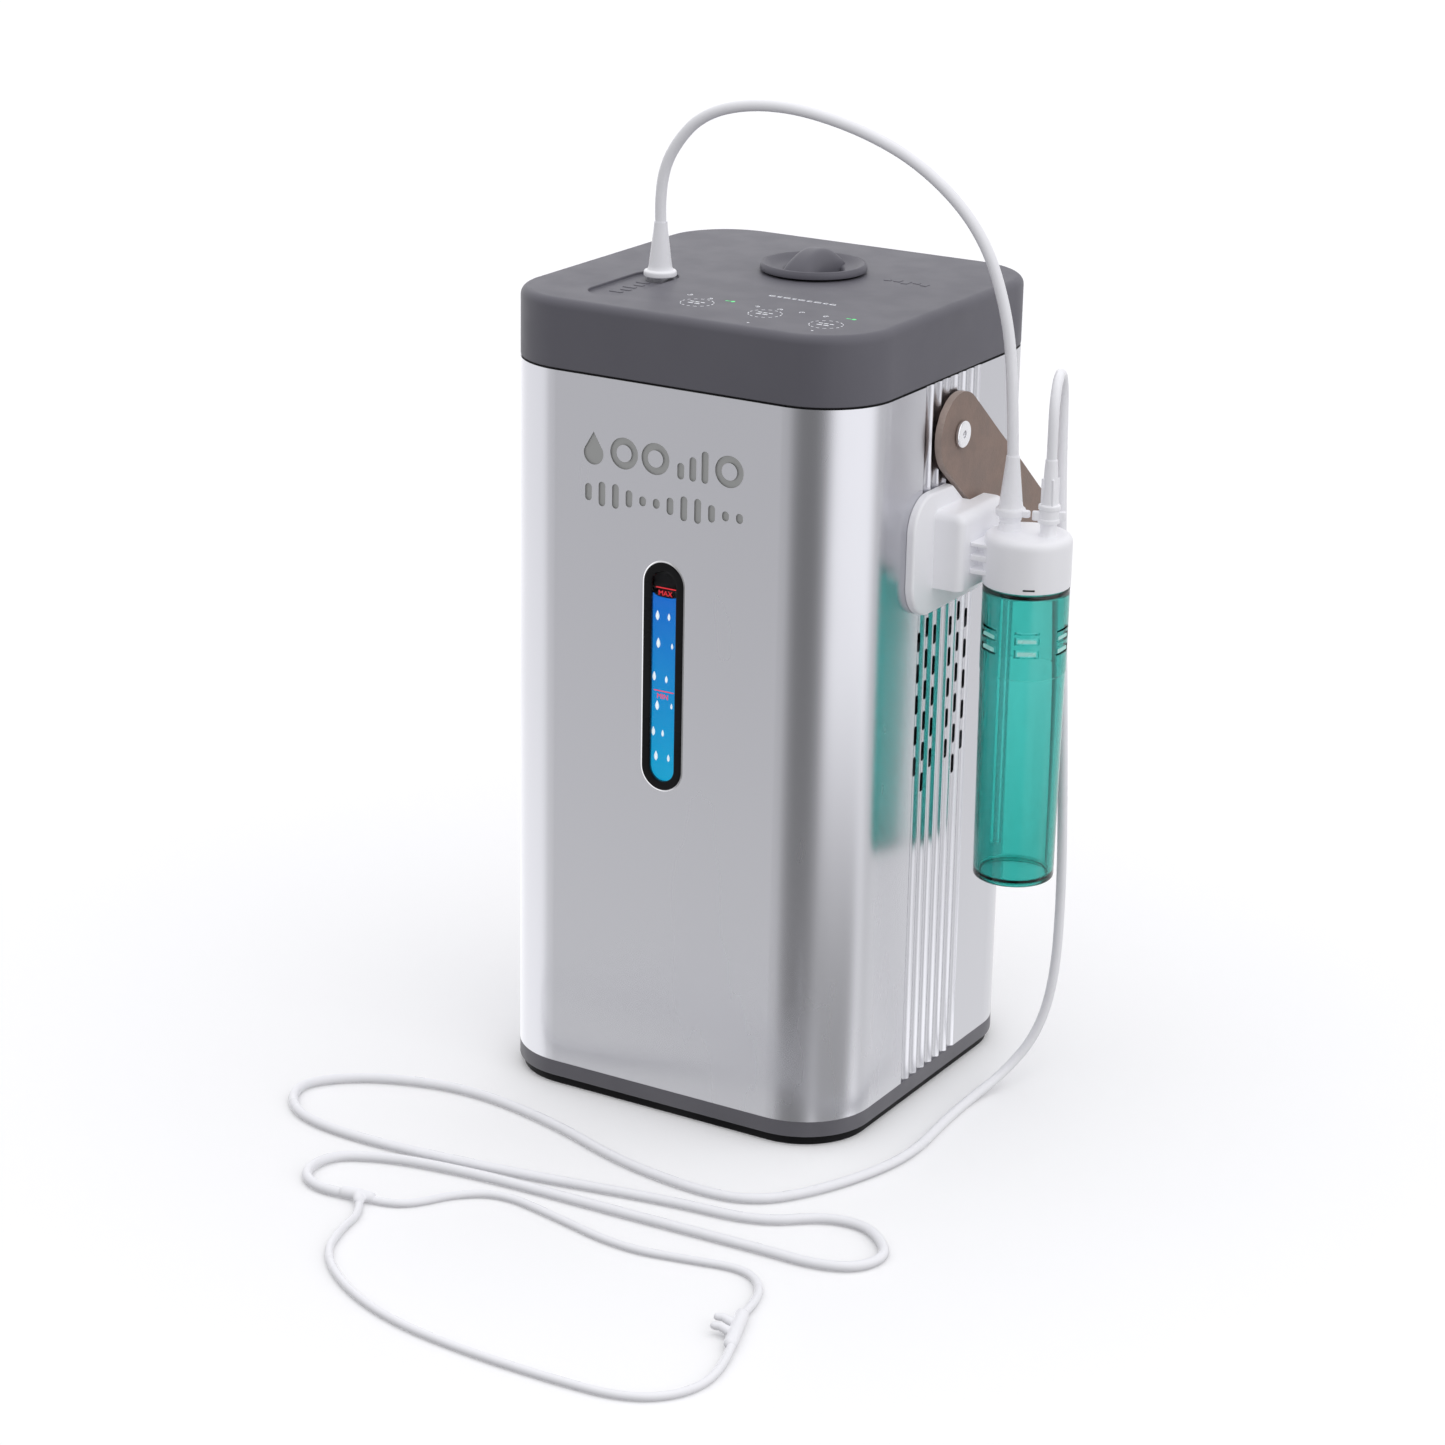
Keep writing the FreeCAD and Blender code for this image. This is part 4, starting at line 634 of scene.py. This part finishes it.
# %% Soften the housing's edges
softened("column_cap", "top_cap", 0.55, "housing", soft_grey, 3)
softened("column_base", "base_tray", 0.35, "housing", tray_grey)
softened("column_foot", "foot_ring", 0.9, "housing", black_rubber, 3)
softened("jar_holder", "jar_bracket", 0.5, "housing", glowing_white_shell, 3)
for side in ("left", "right"):
    softened("strap_screw_" + side, "pivot_screw_" + side, 0.2, "housing", polished_steel)
for name, source, width, body in (
        ("inlet_socket", "mains_inlet", 0.35, "housing"), ("switch_surround", "switch_frame", 0.3, "housing"),
        ("switch_key", "rocker", 0.25, "rocker"), ("fuse_holder", "fuse_drawer", 0.25, "fuse_drawer"),
        ("drain_lever", "drain_knob", 0.4, "drain_knob")):
    softened(name, source, width, body, black_shell)

# %% [markdown]
# ## Filler lid
# A shallow dish with a rounded rim, and a ridge across it to twist it by. The dish is a turned
# profile. The ridge is a grid: across it the height falls off like a quarter circle past a flat top,
# and along it the height follows a circle, so both ends dive into the dish.

# %% Filler lid
FILLER = (6, 23.5)
PLUG_FOOT, RIM_TOP, DISH_FLOOR = 358.4, 371.6, 365.6
dish = turned([(0, PLUG_FOOT, 0), (14.2, PLUG_FOOT, 0.5), (14.2, 368, 0.2), (23.9, 368.2, 0.4),
               (24.1, 370.2, 1.6), (22.7, RIM_TOP, 0.9), (21.2, 371, 0.9), (17.6, 368.9, 2),
               (13.2, 368.2, 1.2), (12.2, DISH_FLOOR, 1.5), (0, DISH_FLOOR, 0)], FILLER, 160)
RIDGE_HALF, RIDGE_RUN, RIDGE_PEAK, RIDGE_ROUND = 8.6, 20.4, 377.6, 23.2
RIDGE_FLAT, RIDGE_FOOT, RIDGE_WAIST = 1.8, DISH_FLOOR - 0.6, 0.10
across = np.sin(np.linspace(-1, 1, 49) * np.pi / 2)[None, :] * RIDGE_HALF
along = np.sin(np.linspace(-1, 1, 65) * np.pi / 2)[:, None] * RIDGE_RUN
crown = RIDGE_PEAK - RIDGE_ROUND + np.sqrt(RIDGE_ROUND ** 2 - along ** 2)
fall = np.clip((np.abs(across) - RIDGE_FLAT) / (RIDGE_HALF - RIDGE_FLAT), 0, 1)
height = RIDGE_FOOT + (crown - RIDGE_FOOT) * np.sqrt(np.clip(1 - fall ** 2.6, 0, 1))
waist = 1 - RIDGE_WAIST * (1 - (along / RIDGE_RUN) ** 2)
ridge = np.stack([FILLER[0] + across * waist, FILLER[1] + along + 0 * across, height], -1)
surface("filler_lid", [dish, (ridge, *SHEET)], "filler_cap", soft_grey, "filler_cap")
print("filler lid and ridge:", ridge.shape[:2])

# %% [markdown]
# ## Shapes with a rounded outline
# Windows, plates and ribs share one idea: a rectangle with round corners is drawn again and again,
# each time inset by what a small profile says. The grid is worked out flat, then laid on the part by
# three directions: two for the outline and one for the height.

# %% Rounded outlines
def rounded_rows(width, depth, radius, profile, steps=10):
    """Rows of a rounded rectangle: for (inset, height) in the profile, corners are arcs of
    radius - inset about fixed centres, joined by straight sides."""
    inset, height = profile[:, :1], profile[:, 1:]
    angle = (np.linspace(0, np.pi / 2, steps)[None, :] + np.arange(4)[:, None] * np.pi / 2).ravel()
    sign_x = np.repeat([1, -1, -1, 1], steps)
    sign_y = np.repeat([1, 1, -1, -1], steps)
    reach = np.maximum(radius - inset, 0.0)
    extra = np.maximum(inset - radius, 0.0)
    x = sign_x * (width / 2 - radius - extra) + reach * np.cos(angle)
    y = sign_y * (depth / 2 - radius - extra) + reach * np.sin(angle)
    return np.stack([x, y, np.repeat(height, len(angle), 1)], -1)


def laid(grid, origin, u=(1, 0, 0), v=(0, 1, 0), w=(0, 0, 1)):
    """A flat-drawn grid carried to origin along the directions u, v and w."""
    return np.array(origin, float) + grid[..., :1] * np.array(u) + grid[..., 1:2] * np.array(v) + \
        grid[..., 2:] * np.array(w)


FRONT = {"u": (1, 0, 0), "v": (0, 0, 1), "w": (0, -1, 0)}


def slab(centre, width, depth, radius, low, high, ease, **way):
    """A closed plate with a rounded outline and eased edges, from height low to high."""
    profile = eased([(min(radius, ease * 1.5), low, 0), (0, low, ease), (0, high, ease),
                     (min(radius, ease * 1.5), high, 0)], 4)
    return laid(rounded_rows(width, depth, radius, profile), centre, **way), *ROD


def swung(angle):
    """The directions of a plate turned about its upright axis."""
    c, s = math.cos(angle), math.sin(angle)
    return {"u": (c, s, 0), "v": (-s, c, 0)}


def facing(angle):
    """The directions of a plate that stands on a round wall and looks out at an angle."""
    c, s = math.cos(angle), math.sin(angle)
    return {"u": (-s, c, 0), "v": (0, 0, 1), "w": (c, s, 0)}


print("outline helpers ready")

# %% [markdown]
# ## Level window
# A black frame with a bright chamfer round it holds a clear pane. Behind it stands the water, lit
# from the side so that it glows from deep blue at the surface to pale blue at the foot. Its surface
# climbs a little at both walls, as water does. Drops cling to the wall, pale and glowing: painted
# highlights. Red lines mark the highest and lowest level, and their glow is painted light.

# %% Window frame and pane
WINDOW_AT, WINDOW_WIDE, WINDOW_LONG = (0, 0, 207.25), 20.0, 103.7


def window_ring(corners, steps):
    """A ring with the window's outline: its section is a profile of (inset, distance from the middle)."""
    rows = rounded_rows(WINDOW_WIDE, WINDOW_LONG, WINDOW_WIDE / 2, eased(corners, steps), 24)
    return laid(rows, WINDOW_AT, **FRONT), *RING


surface("window_frame", [window_ring([(0, 86.2, 0), (0, 90.55, 0.35), (3.8, 90.55, 0.5), (3.8, 86.2, 0)], 5)],
        "housing", frame_black, "window_bezel")
surface("window_chamfer", [window_ring([(-0.75, 89.9, 0), (-0.75, 90.04, 0.05), (-0.05, 90.3, 0.1),
                                        (-0.05, 89.9, 0)], 4)], "housing", polished_steel)
surface("window_pane", [slab(WINDOW_AT, 12.3, 96.0, 6.15, 89.0, 89.6, 0.15, **FRONT)],
        "housing", lens_clear, "window_lens")
print("window frame, chamfer and pane")

# %% Water, drops and level marks
water_glow, shader, place = new_finish("water_glow", (0.003, 0.02, 0.05), 0.4, Emission_Strength=0.95,
                                       Specular_IOR_Level=0.05)
tree = water_glow.node_tree
water_height = add(tree, "SeparateXYZ", inputs={0: place}).node.outputs[2]
sway = maths(tree, "MULTIPLY", noise(place, 70.0, 2.0), 0.006)
hue = ramp(maths(tree, "ADD", water_height, sway), 0.163, 0.247, smooth=False)
wire(shader, "Emission Color", blend_colours(hue, (0.008, 0.35, 0.60, 1), (0.010, 0.135, 0.56, 1)))
raise_bump(shader, noise(place, 260.0, 2.0), 0.02)
# painted highlight: the drops are pale and glow, standing for light caught in clear water
drop_glint = moulded("drop_glint", (0.75, 0.82, 0.85), 0.15, 500.0, 0.002, 0.05,
                     Emission_Color=(0.7, 0.85, 0.9, 1), Emission_Strength=0.35)
# red print with a painted glow on top of its own colour
red_print_glow = moulded("red_print_glow", (0.55, 0.01, 0.02), 0.4, 900.0, 0.002, 0.05,
                   Emission_Color=(0.85, 0.01, 0.02, 1), Emission_Strength=0.6)

WATER_HALF, WATER_FOOT, WATER_LEVEL, CLIMB, WATER_Y = 6.15, 159.3, 243.0, 1.4, -88.75
side = np.linspace(-1, 1, 33)[None, :]
rise = np.linspace(0, 1, 60)[:, None] ** 1.15
foot = WATER_FOOT + WATER_HALF * (1 - np.sqrt(np.clip(1 - side ** 2, 0, 1)))
top = WATER_LEVEL + CLIMB * np.abs(side) ** 4
water = np.stack([WATER_HALF * side + 0 * rise, WATER_Y + 0 * side * rise, foot + (top - foot) * rise], -1)
level_water = surface("level_water", [(water, *SHEET)], "housing", water_glow)
thicken = level_water.modifiers.new("thickness", "SOLIDIFY")
thicken.thickness = 0.25 * MM
thicken.offset = -1.0
# painted shade: a dark slab behind the water
surface("level_shadow", [slab(WINDOW_AT, 12.5, 96.2, 6.2, 87.8, 88.4, 0.1, **FRONT)],
        "housing", painted_shade_black)

DROPS = [(-3.7, 234.6, 1), (2.1, 234.7, 0.75), (-3.1, 222.2, 1.05), (3.9, 221.7, 0.6), (-5, 206.8, 0.95),
         (1.2, 206.2, 0.75), (-3.3, 193.6, 1), (4, 194.3, 0.6), (-5.1, 181.4, 0.95), (-0.3, 181.2, 0.7),
         (-3.6, 170.3, 1), (2.8, 170.2, 0.75)]
t = np.linspace(0.02, 0.98, 13)[:, None]
a = np.linspace(0, 2 * np.pi, 16, endpoint=False)[None, :]
belly = np.sin(np.pi * t) ** 0.8 * (1.25 - 0.6 * t)
DROP_WIDE, DROP_DEEP, DROP_TALL, DROP_Y, WORD_Y = 0.95, 0.5, 4.6, -88.95, -88.98
drop = np.stack([DROP_WIDE * belly * np.cos(a), DROP_DEEP * belly * np.sin(a),
                 (t - 0.5) * DROP_TALL + 0 * a], -1)
surface("level_drops", [(drop * size + np.array([x, DROP_Y, z]), *ROD) for x, z, size in DROPS],
        "housing", drop_glint)


def lettering(name, words, size, centre, finish):
    """Flat letters made a mesh, centred, then laid on the front face."""
    line = bpy.data.curves.new(name, "FONT")
    line.body, line.size, line.extrude = words, size, 0.04
    line.align_x, line.align_y = "CENTER", "CENTER"
    helper = bpy.data.objects.new(name + "_line", line)
    link(helper)
    bpy.context.view_layer.update()
    mesh = bpy.data.meshes.new_from_object(helper.evaluated_get(bpy.context.evaluated_depsgraph_get()))
    bpy.data.objects.remove(helper)
    spots = np.zeros(len(mesh.vertices) * 3)
    mesh.vertices.foreach_get("co", spots)
    spots = laid(spots.reshape(-1, 3), centre, **FRONT) * MM
    mesh.vertices.foreach_set("co", spots.ravel())
    mesh.materials.clear()
    mesh.name = name
    return finish_piece(bpy.data.objects.new(name, mesh), "housing", finish, sharp=30.0)


lettering("mark_max_word", "MAX", 3.3, (0.1, WORD_Y, 244.9), red_print_glow)
lettering("mark_min_word", "MIN", 3.3, (-0.6, WORD_Y, 197.9), red_print_glow)
surface("level_marks", [slab((0.6, -0.2, 247.4), 10.4, 0.42, 0.2, 88.75, 88.95, 0.05, **FRONT),
                        slab((0, -0.2, 200.5), 10.2, 0.42, 0.2, 88.75, 88.95, 0.05, **FRONT)],
        "housing", red_print_glow)
print("water, shadow,", len(DROPS), "drops and the marks")

# %% [markdown]
# ## Touch panel
# The touch pads are printed on the cap: dashed rings with short bars in them, small signs over them
# that light up, and a strip of bars. Each mark is a tiny grid. One Solidify gives the ink its film.

# %% Touch panel print
INK_Z = 367.22
ink_white = moulded("ink_white", (0.82, 0.83, 0.86), 0.5, 1500.0, 0.002, 0.03,
                    Emission_Color=(0.8, 0.82, 0.9, 1), Emission_Strength=0.25)


def ink_bar(x, y, length, width, lean=0.0):
    """A straight mark, leaning by lean degrees."""
    c, s = math.cos(math.radians(lean)), math.sin(math.radians(lean))
    u = np.array([[-length, length], [-length, length]]) / 2
    v = np.array([[-width, -width], [width, width]]) / 2
    return np.stack([x + u * c - v * s, y + u * s + v * c, INK_Z + 0 * u], -1), *SHEET


def ink_arc(x, y, radius, width, start, sweep, steps=7):
    """A round mark: a strip between radius and radius + width."""
    angle = np.radians(start + np.linspace(0, sweep, steps))[None, :]
    r = np.array([[radius + width], [radius]])
    return np.stack([x + r * np.cos(angle), y + r * np.sin(angle), INK_Z + 0 * r * angle], -1), *SHEET


def ink_dot(x, y, radius, steps):
    """A round dot."""
    return ink_arc(x, y, 0.0, radius, 0, 360, steps)


PADS = [(-3.1, -61.2), (31.3, -62.6), (62.5, -65.6)]
SIGNS = [(-13.7, -49.5), (-2.6, -51.3), (21.7, -52.9), (32.6, -52.2), (43.1, -51.8), (55.2, -52.5)]
LAMPS = [(8.4, -50.6), (67.6, -50.6)]
ink = []
for x, y in PADS:
    ink += [ink_arc(x, y, 7.0, 0.42, k * 24.0, 12.0) for k in range(15)]
    ink += [ink_bar(x - 3.2 + 2.6 * k, y + 1.4, 1.9, 0.9) for k in range(3)]
    ink += [ink_bar(x - 2.4 + 3.2 * k, y - 1.5, 2.5, 0.9) for k in range(2)]
for k, (x, y) in enumerate(SIGNS):
    ink += [ink_arc(x, y, 0.85, 0.4, 200.0 + 40 * k, 250.0, 12), ink_bar(x, y + 0.7, 0.4, 1.5)]
ink += [ink_dot(34.0, -81.3, 0.55, 16), ink_dot(63.2, -78.6, 0.55, 16)]
STRIP, STRIP_GAP, STRIP_MIDDLE = [3.2, 2.2, 3.4, 2.0, 3.4, 2.6, 3.6, 2.2, 3.2], 0.9, 31.6
ends = np.cumsum(STRIP) + STRIP_GAP * np.arange(len(STRIP))
for length, end in zip(STRIP, STRIP_MIDDLE + ends - ends[-1] / 2):
    ink += [ink_bar(end - length / 2, -31.6, length, 0.6), ink_bar(end - length + 0.35, -31.1, 0.7, 1.6),
            ink_bar(end - length / 2, -30.2, length * 0.7, 0.5)]
panel_print = surface("panel_print", ink, "housing", ink_white)
lamps = [ink_dot(x, y, 1.0, 20) for x, y in LAMPS] + [ink_bar(x - 2.6, y, 2.2, 0.7) for x, y in LAMPS]
panel_lamps = surface("panel_lamps", lamps, "housing", lamp_green)
for film in (panel_print, panel_lamps):
    coat = film.modifiers.new("film", "SOLIDIFY")
    coat.thickness, coat.offset = 0.03 * MM, 1.0
emboss = []
for k in range(5):
    odd = k % 2
    emboss += [slab((42.0 + 4.6 * k, 26.3 + 1.2 * odd, 0), 3.4, 2.6 + 1.5 * (k % 3), 0.6, 367.0, 367.45, 0.2),
               slab((-46.5 + 1.5 * odd, -57.0 + 5.4 * k, 0), 6.5 - 1.5 * odd, 2.6, 0.8, 365.5, 366.0, 0.2)]
surface("cap_emboss", emboss, "housing", soft_grey)
print("panel:", len(ink), "marks and", len(LAMPS), "lamps")

# %% [markdown]
# ## Strap handle
# A strap is a flat ribbon that follows a U: down one side, round a bend, across the back and up the
# other side. The grid runs along the U and across the width, and the width follows a circle at both
# ends. Solidify gives the leather its thickness and puts the paler finish on the cut edge.

# %% Strap handle
STRAP_HALF, STRAP_THICK, STRAP_OUT, BEND, ARM_RUN = 18.5, 3.2, 92.9, 31.6, 102.0
PIVOT_Z, REST = 311.0, math.radians(39.0)
arm = np.linspace(-STRAP_HALF + 0.01, ARM_RUN, 110)
bend = np.linspace(0, np.pi / 2, 26)[1:]
across_back = np.linspace(STRAP_OUT - BEND, 0, 40)[1:]
half_x = np.r_[0 * arm + STRAP_OUT, STRAP_OUT - BEND + BEND * np.cos(bend), across_back]
half_s = np.r_[arm, ARM_RUN + BEND * np.sin(bend), 0 * across_back + ARM_RUN + BEND]
path_x = np.r_[half_x, -half_x[-2::-1]][:, None]
path_s = np.r_[half_s, half_s[-2::-1]][:, None]
inset_end = np.clip(-path_s, 0, STRAP_HALF)
half_width = np.sqrt(np.maximum(STRAP_HALF ** 2 - inset_end ** 2, 0.0004))
share = np.sin(np.linspace(-1, 1, 31) * np.pi / 2)[None, :]
WAVE, WAVE_TURN, WAVE_LEAN, WAVE_START = 0.16, 0.11, 1.3, 40
lie = WAVE * np.sin(path_s * WAVE_TURN + WAVE_LEAN * share) * np.clip(path_s / WAVE_START, 0, 1)
wide = half_width * share
ribbon = np.stack([path_x + np.sign(path_x) * lie, path_s + 0 * wide, wide], -1)
ribbon = laid(ribbon, (0, 0, PIVOT_Z), v=(0, math.cos(REST), -math.sin(REST)),
              w=(0, math.sin(REST), math.cos(REST)))
strap = surface("leather_strap", [(ribbon, *SHEET)], "strap", leather, "carry_strap")
strap.data.materials.append(leather_edge)
body_of_leather = strap.modifiers.new("thickness", "SOLIDIFY")
body_of_leather.thickness, body_of_leather.offset = STRAP_THICK * MM, 0.0
body_of_leather.material_offset_rim = 1
worn = strap.modifiers.new("worn_edge", "BEVEL")
worn.width, worn.segments, worn.limit_method, worn.angle_limit = 0.5 * MM, 2, "ANGLE", math.radians(50)
print("strap grid", ribbon.shape[:2])

# %% [markdown]
# ## Jar and its lid
# The jar is one closed skin: its profile starts under the floor, climbs the outside, crosses the rim
# and comes down the inside. Below its shoulder are three groups of finger grips, pockets pressed into
# the outer wall where fingers reach round it. A pocket is a smooth box in angle and height, taken off
# the radius.

# %% Jar
JAR_AT = (129, 0)
GRIP_ANGLE, GRIP_DEEP = 16.0, 0.95
GRIP_ROWS = [(221.2, 224.4), (227.1, 230), (231.8, 232.6)]
outside = eased([(0, 115.9, 0), (14.6, 115.9, 0.6), (16, 114.3, 0.3), (17.9, 114.3, 1.8), (18.7, 210.6, 0.2),
                 (19, 211, 0.2), (19, 218, 0)], 7)
grip_heights = np.linspace(218.2, 235.2, 86)
band = np.c_[0 * grip_heights + 19.0, grip_heights]
neck = eased([(19, 235.4, 0), (19, 246.6, 0.1), (18.75, 246.9, 0.1), (18.75, 247.5, 0.1), (19, 247.8, 0.1),
              (19, 249.2, 0.3), (16.3, 249.2, 0.2), (16.3, 265, 0.4), (14.5, 265, 0.4), (14.5, 248.2, 0.6),
              (17.2, 246.6, 0.6), (17.2, 211, 1), (16, 117.2, 1.2), (0, 117.2, 0)], 7)
wall = np.concatenate([outside, band, neck])[1:-1]
angle = np.linspace(0, 2 * np.pi, 432, endpoint=False)[None, :]
degrees = np.degrees(angle)
apart = np.abs((degrees + 30.0) % 60.0 - 30.0) + 90.0 * ((degrees > 30.0) & (degrees < 210.0))


def smooth_box(value, low, high, edge):
    """1 inside low..high, 0 outside, with a smooth step of width edge at each end."""
    t = np.clip(np.minimum(value - low, high - value) / edge + 0.5, 0, 1)
    return t * t * (3 - 2 * t)


deep = sum(smooth_box(wall[:, 1:], low, high, 0.4) for low, high in GRIP_ROWS)
deep = deep * smooth_box(apart, -99, GRIP_ANGLE, 1.2)
on_outside = (np.arange(len(wall)) >= len(outside) - 1) & (np.arange(len(wall)) < len(outside) + len(band))
radius = wall[:, :1] - GRIP_DEEP * deep * on_outside[:, None]
jar_grid = np.stack([JAR_AT[0] + radius * np.cos(angle), JAR_AT[1] + radius * np.sin(angle),
                     wall[:, 1:] + 0 * angle], -1)
surface("clear_jar", [(jar_grid, *ROD)], "jar", teal_clear, "jar", 50.0)
# painted highlights: pale glowing pads in the front grip pockets stand for light caught there
mint_glint = moulded("mint_glint", (0.50, 0.80, 0.76), 0.3, 900.0, 0.004, 0.03, Transmission_Weight=0.35,
                   Emission_Color=(0.4, 0.9, 0.85, 1), Emission_Strength=0.12)
glints = []
for way in np.radians([-120.0, -60.0, 0.0]):
    glints += [slab((*JAR_AT, z), 8.2, high, 0.5, 18.15, 18.55, 0.12, **facing(way))
             for z, high in ((228.5, 1.7), (222.8, 1.9))]
surface("grip_glints", glints, "jar", mint_glint)
print("jar grid", jar_grid.shape[:2], "and", len(glints), "grip pads")

# %% Jar lid
LID_FOOT, LID_ROOF, LID_TOP = 249.6, 268.5, 272.5
shell = turned([(0, LID_ROOF, 0), (16.6, LID_ROOF, 0.4), (16.6, LID_FOOT, 0.2), (19.2, LID_FOOT, 0.35),
                (19.2, LID_TOP, 4.2), (0, LID_TOP, 0)], JAR_AT, 128, 9)
JAR_END, PLUG_END = (119.8, 0), (138.2, 0)
left_neck = turned([(1.4, 272, 0), (6.2, 272, 0), (4.9, 273.2, 1), (4.9, 275.4, 0.2), (4.5, 275.7, 0.1),
                    (4.5, 276.5, 0.1), (4.9, 276.8, 0.2), (4.9, 278.6, 0.3), (1.4, 278.6, 0)], JAR_END, 64)
right_neck = turned([(1.3, 272, 0), (4.8, 272, 0), (3.6, 273.2, 1), (3.6, 278.2, 0.3), (1.3, 278.2, 0)],
                    PLUG_END, 64)
shelves = [slab((118, 0, 0), 20.0, 28.8, 1.2, low, high, 0.35) for low, high in
           ((254, 256), (260, 262.4), (266.2, 267.8))]
web = slab((118, 0, 0), 19.6, 14.8, 1.0, 254.6, 267.2, 0.2)
surface("jar_lid", [shell, left_neck, right_neck, *shelves, web],
        "housing", glowing_white_shell, "jar_cap")
# painted shade: a thin dark slab on the lid's wall stands for the shadow inside a notch
NOTCH_WAY, NOTCH_Z, LID_R = math.radians(-61.0), 251.7, 19.25
notch_shade = slab((*JAR_AT, NOTCH_Z), 5.2, 0.7, 0.3, LID_R - 0.4, LID_R + 0.06, 0.05, **facing(NOTCH_WAY))
surface("lid_notch_shade", [notch_shade], "housing", painted_shade_black)
print("jar lid with", len(shelves), "shelves")

# %% [markdown]
# ## Tube ends
# Each tube ends in a soft cone pushed over a neck: a flange to pull it off by, and a long taper that
# also relieves the bend. The cannula's plug has a collar with two lugs and four thin ribs.

# %% Tube ends
TOP_END = (-43.4, -26.1)
top_end = turned([(2.55, 367.7, 0), (7.3, 367.7, 0.7), (7.3, 370.3, 1), (5.7, 370.5, 0.5), (5.2, 372, 0.6),
                  (3, 389.6, 2), (2.9, 391.3, 0.3), (2.52, 391.3, 0)], TOP_END, 96)
surface("top_tube_end", [top_end], "housing", fitting_vinyl, "tube_end_top")
jar_end = turned([(2.55, 278.7, 0), (6.6, 278.7, 0.6), (6.6, 282.1, 1.2), (5.5, 282.3, 0.4), (5.1, 284, 0.6),
                  (3.1, 302.5, 2), (2.9, 305.2, 0.3), (2.52, 305.2, 0)], JAR_END, 96)
surface("jar_tube_end", [jar_end, slab((124.6, 0, 0), 9.0, 3.6, 1.6, 278.9, 281.8, 0.5)],
        "housing", fitting_vinyl, "tube_end_jar")
plug = [turned([(2.28, 278.3, 0), (4.8, 278.3, 0.3), (4.8, 280, 0.2), (4.4, 280.4, 0.2), (4.4, 284, 0.2),
                (4.8, 284.4, 0.2), (4.8, 286.2, 0.5), (3.7, 286.5, 0.4), (2.7, 304.5, 1.5), (2.6, 306.2, 0.2),
                (2.27, 306.2, 0)], PLUG_END, 80)]
LUG_WAY, RIB_R = math.radians(30.0), 2.4
plug.append(slab((*PLUG_END, 0), 14.6, 3.0, 1.4, 279.2, 283.2, 0.5, **swung(LUG_WAY)))
for way in np.radians([45.0, 135.0, 225.0, 315.0]):
    spot = (PLUG_END[0] + RIB_R * math.cos(way), RIB_R * math.sin(way), 0)
    plug.append(slab(spot, 3.4, 1.0, 0.45, 286.0, 298.0, 0.3, **swung(way)))
surface("plug_body", plug, "housing", fitting_vinyl, "cannula_plug")
print("tube ends and plug with 4 ribs")

# %% [markdown]
# ## Cannula fittings
# The join and the nose piece are soft mouldings with no hard edge anywhere. Capsules, rods with round
# ends, are laid along their legs, and a Remesh modifier melts them into one skin.

# %% Cannula fittings
ROUND_STEPS, TURNS = 18, 24


def capsule(start, finish, first, second):
    """A rod with round ends. Its radius goes from first to second."""
    start, finish = np.array(start, float), np.array(finish, float)
    length = np.linalg.norm(finish - start)
    way = (finish - start) / length
    side = np.cross(way, (0, 0, 1))
    side /= np.linalg.norm(side)
    lean = np.linspace(-np.pi / 2, np.pi / 2, ROUND_STEPS)[1:-1]
    along = np.where(lean < 0, first * np.sin(lean), length + second * np.sin(lean))[:, None]
    radius = (np.where(lean < 0, first, second) * np.cos(lean))[:, None]
    turn = np.linspace(0, 2 * np.pi, TURNS, endpoint=False)[None, :]
    flat = np.stack([radius * np.cos(turn), radius * np.sin(turn), along + 0 * turn], -1)
    return laid(flat, start, u=side, v=np.cross(way, side), w=way), *ROD


def melted(name, capsules, stands_for):
    """Capsules melted into one skin."""
    piece = surface(name, capsules, "housing", fitting_vinyl, stands_for)
    melt = piece.modifiers.new("melt", "REMESH")
    melt.mode, melt.voxel_size, melt.use_smooth_shade = "VOXEL", 0.32 * MM, True
    relax = piece.modifiers.new("relax", "SMOOTH")
    relax.factor, relax.iterations = 0.5, 6
    return piece


JOIN_Z, NOSE_Z = 2.8, 3.0
melted("tube_join", [capsule((-66.5, -236.4, JOIN_Z), (-59.5, -234.9, JOIN_Z), 2.8, 2.8),
                     capsule((-60.0, -235.2, JOIN_Z), (-54.4, -234.4, JOIN_Z), 2.8, 2.4),
                     capsule((-60.0, -235.2, JOIN_Z), (-56.8, -239.4, JOIN_Z), 2.8, 2.4)],
       "y_piece")
prongs = []
for x, y in ((134.9, -247.6), (137.6, -254.8)):
    prongs += [capsule((x, y, NOSE_Z), (x - 6.2, y + 0.9, NOSE_Z + 1.1), 2.1, 1.8),
               capsule((x - 6.0, y + 0.85, NOSE_Z + 1.1), (x - 8.6, y + 0.2, NOSE_Z + 1.0), 1.8, 1.6)]
melted("nose_piece", [capsule((133.1, -239.6, NOSE_Z), (141.2, -262.0, NOSE_Z), 2.9, 2.9), *prongs],
       "nasal_piece")
print("join and nose piece")
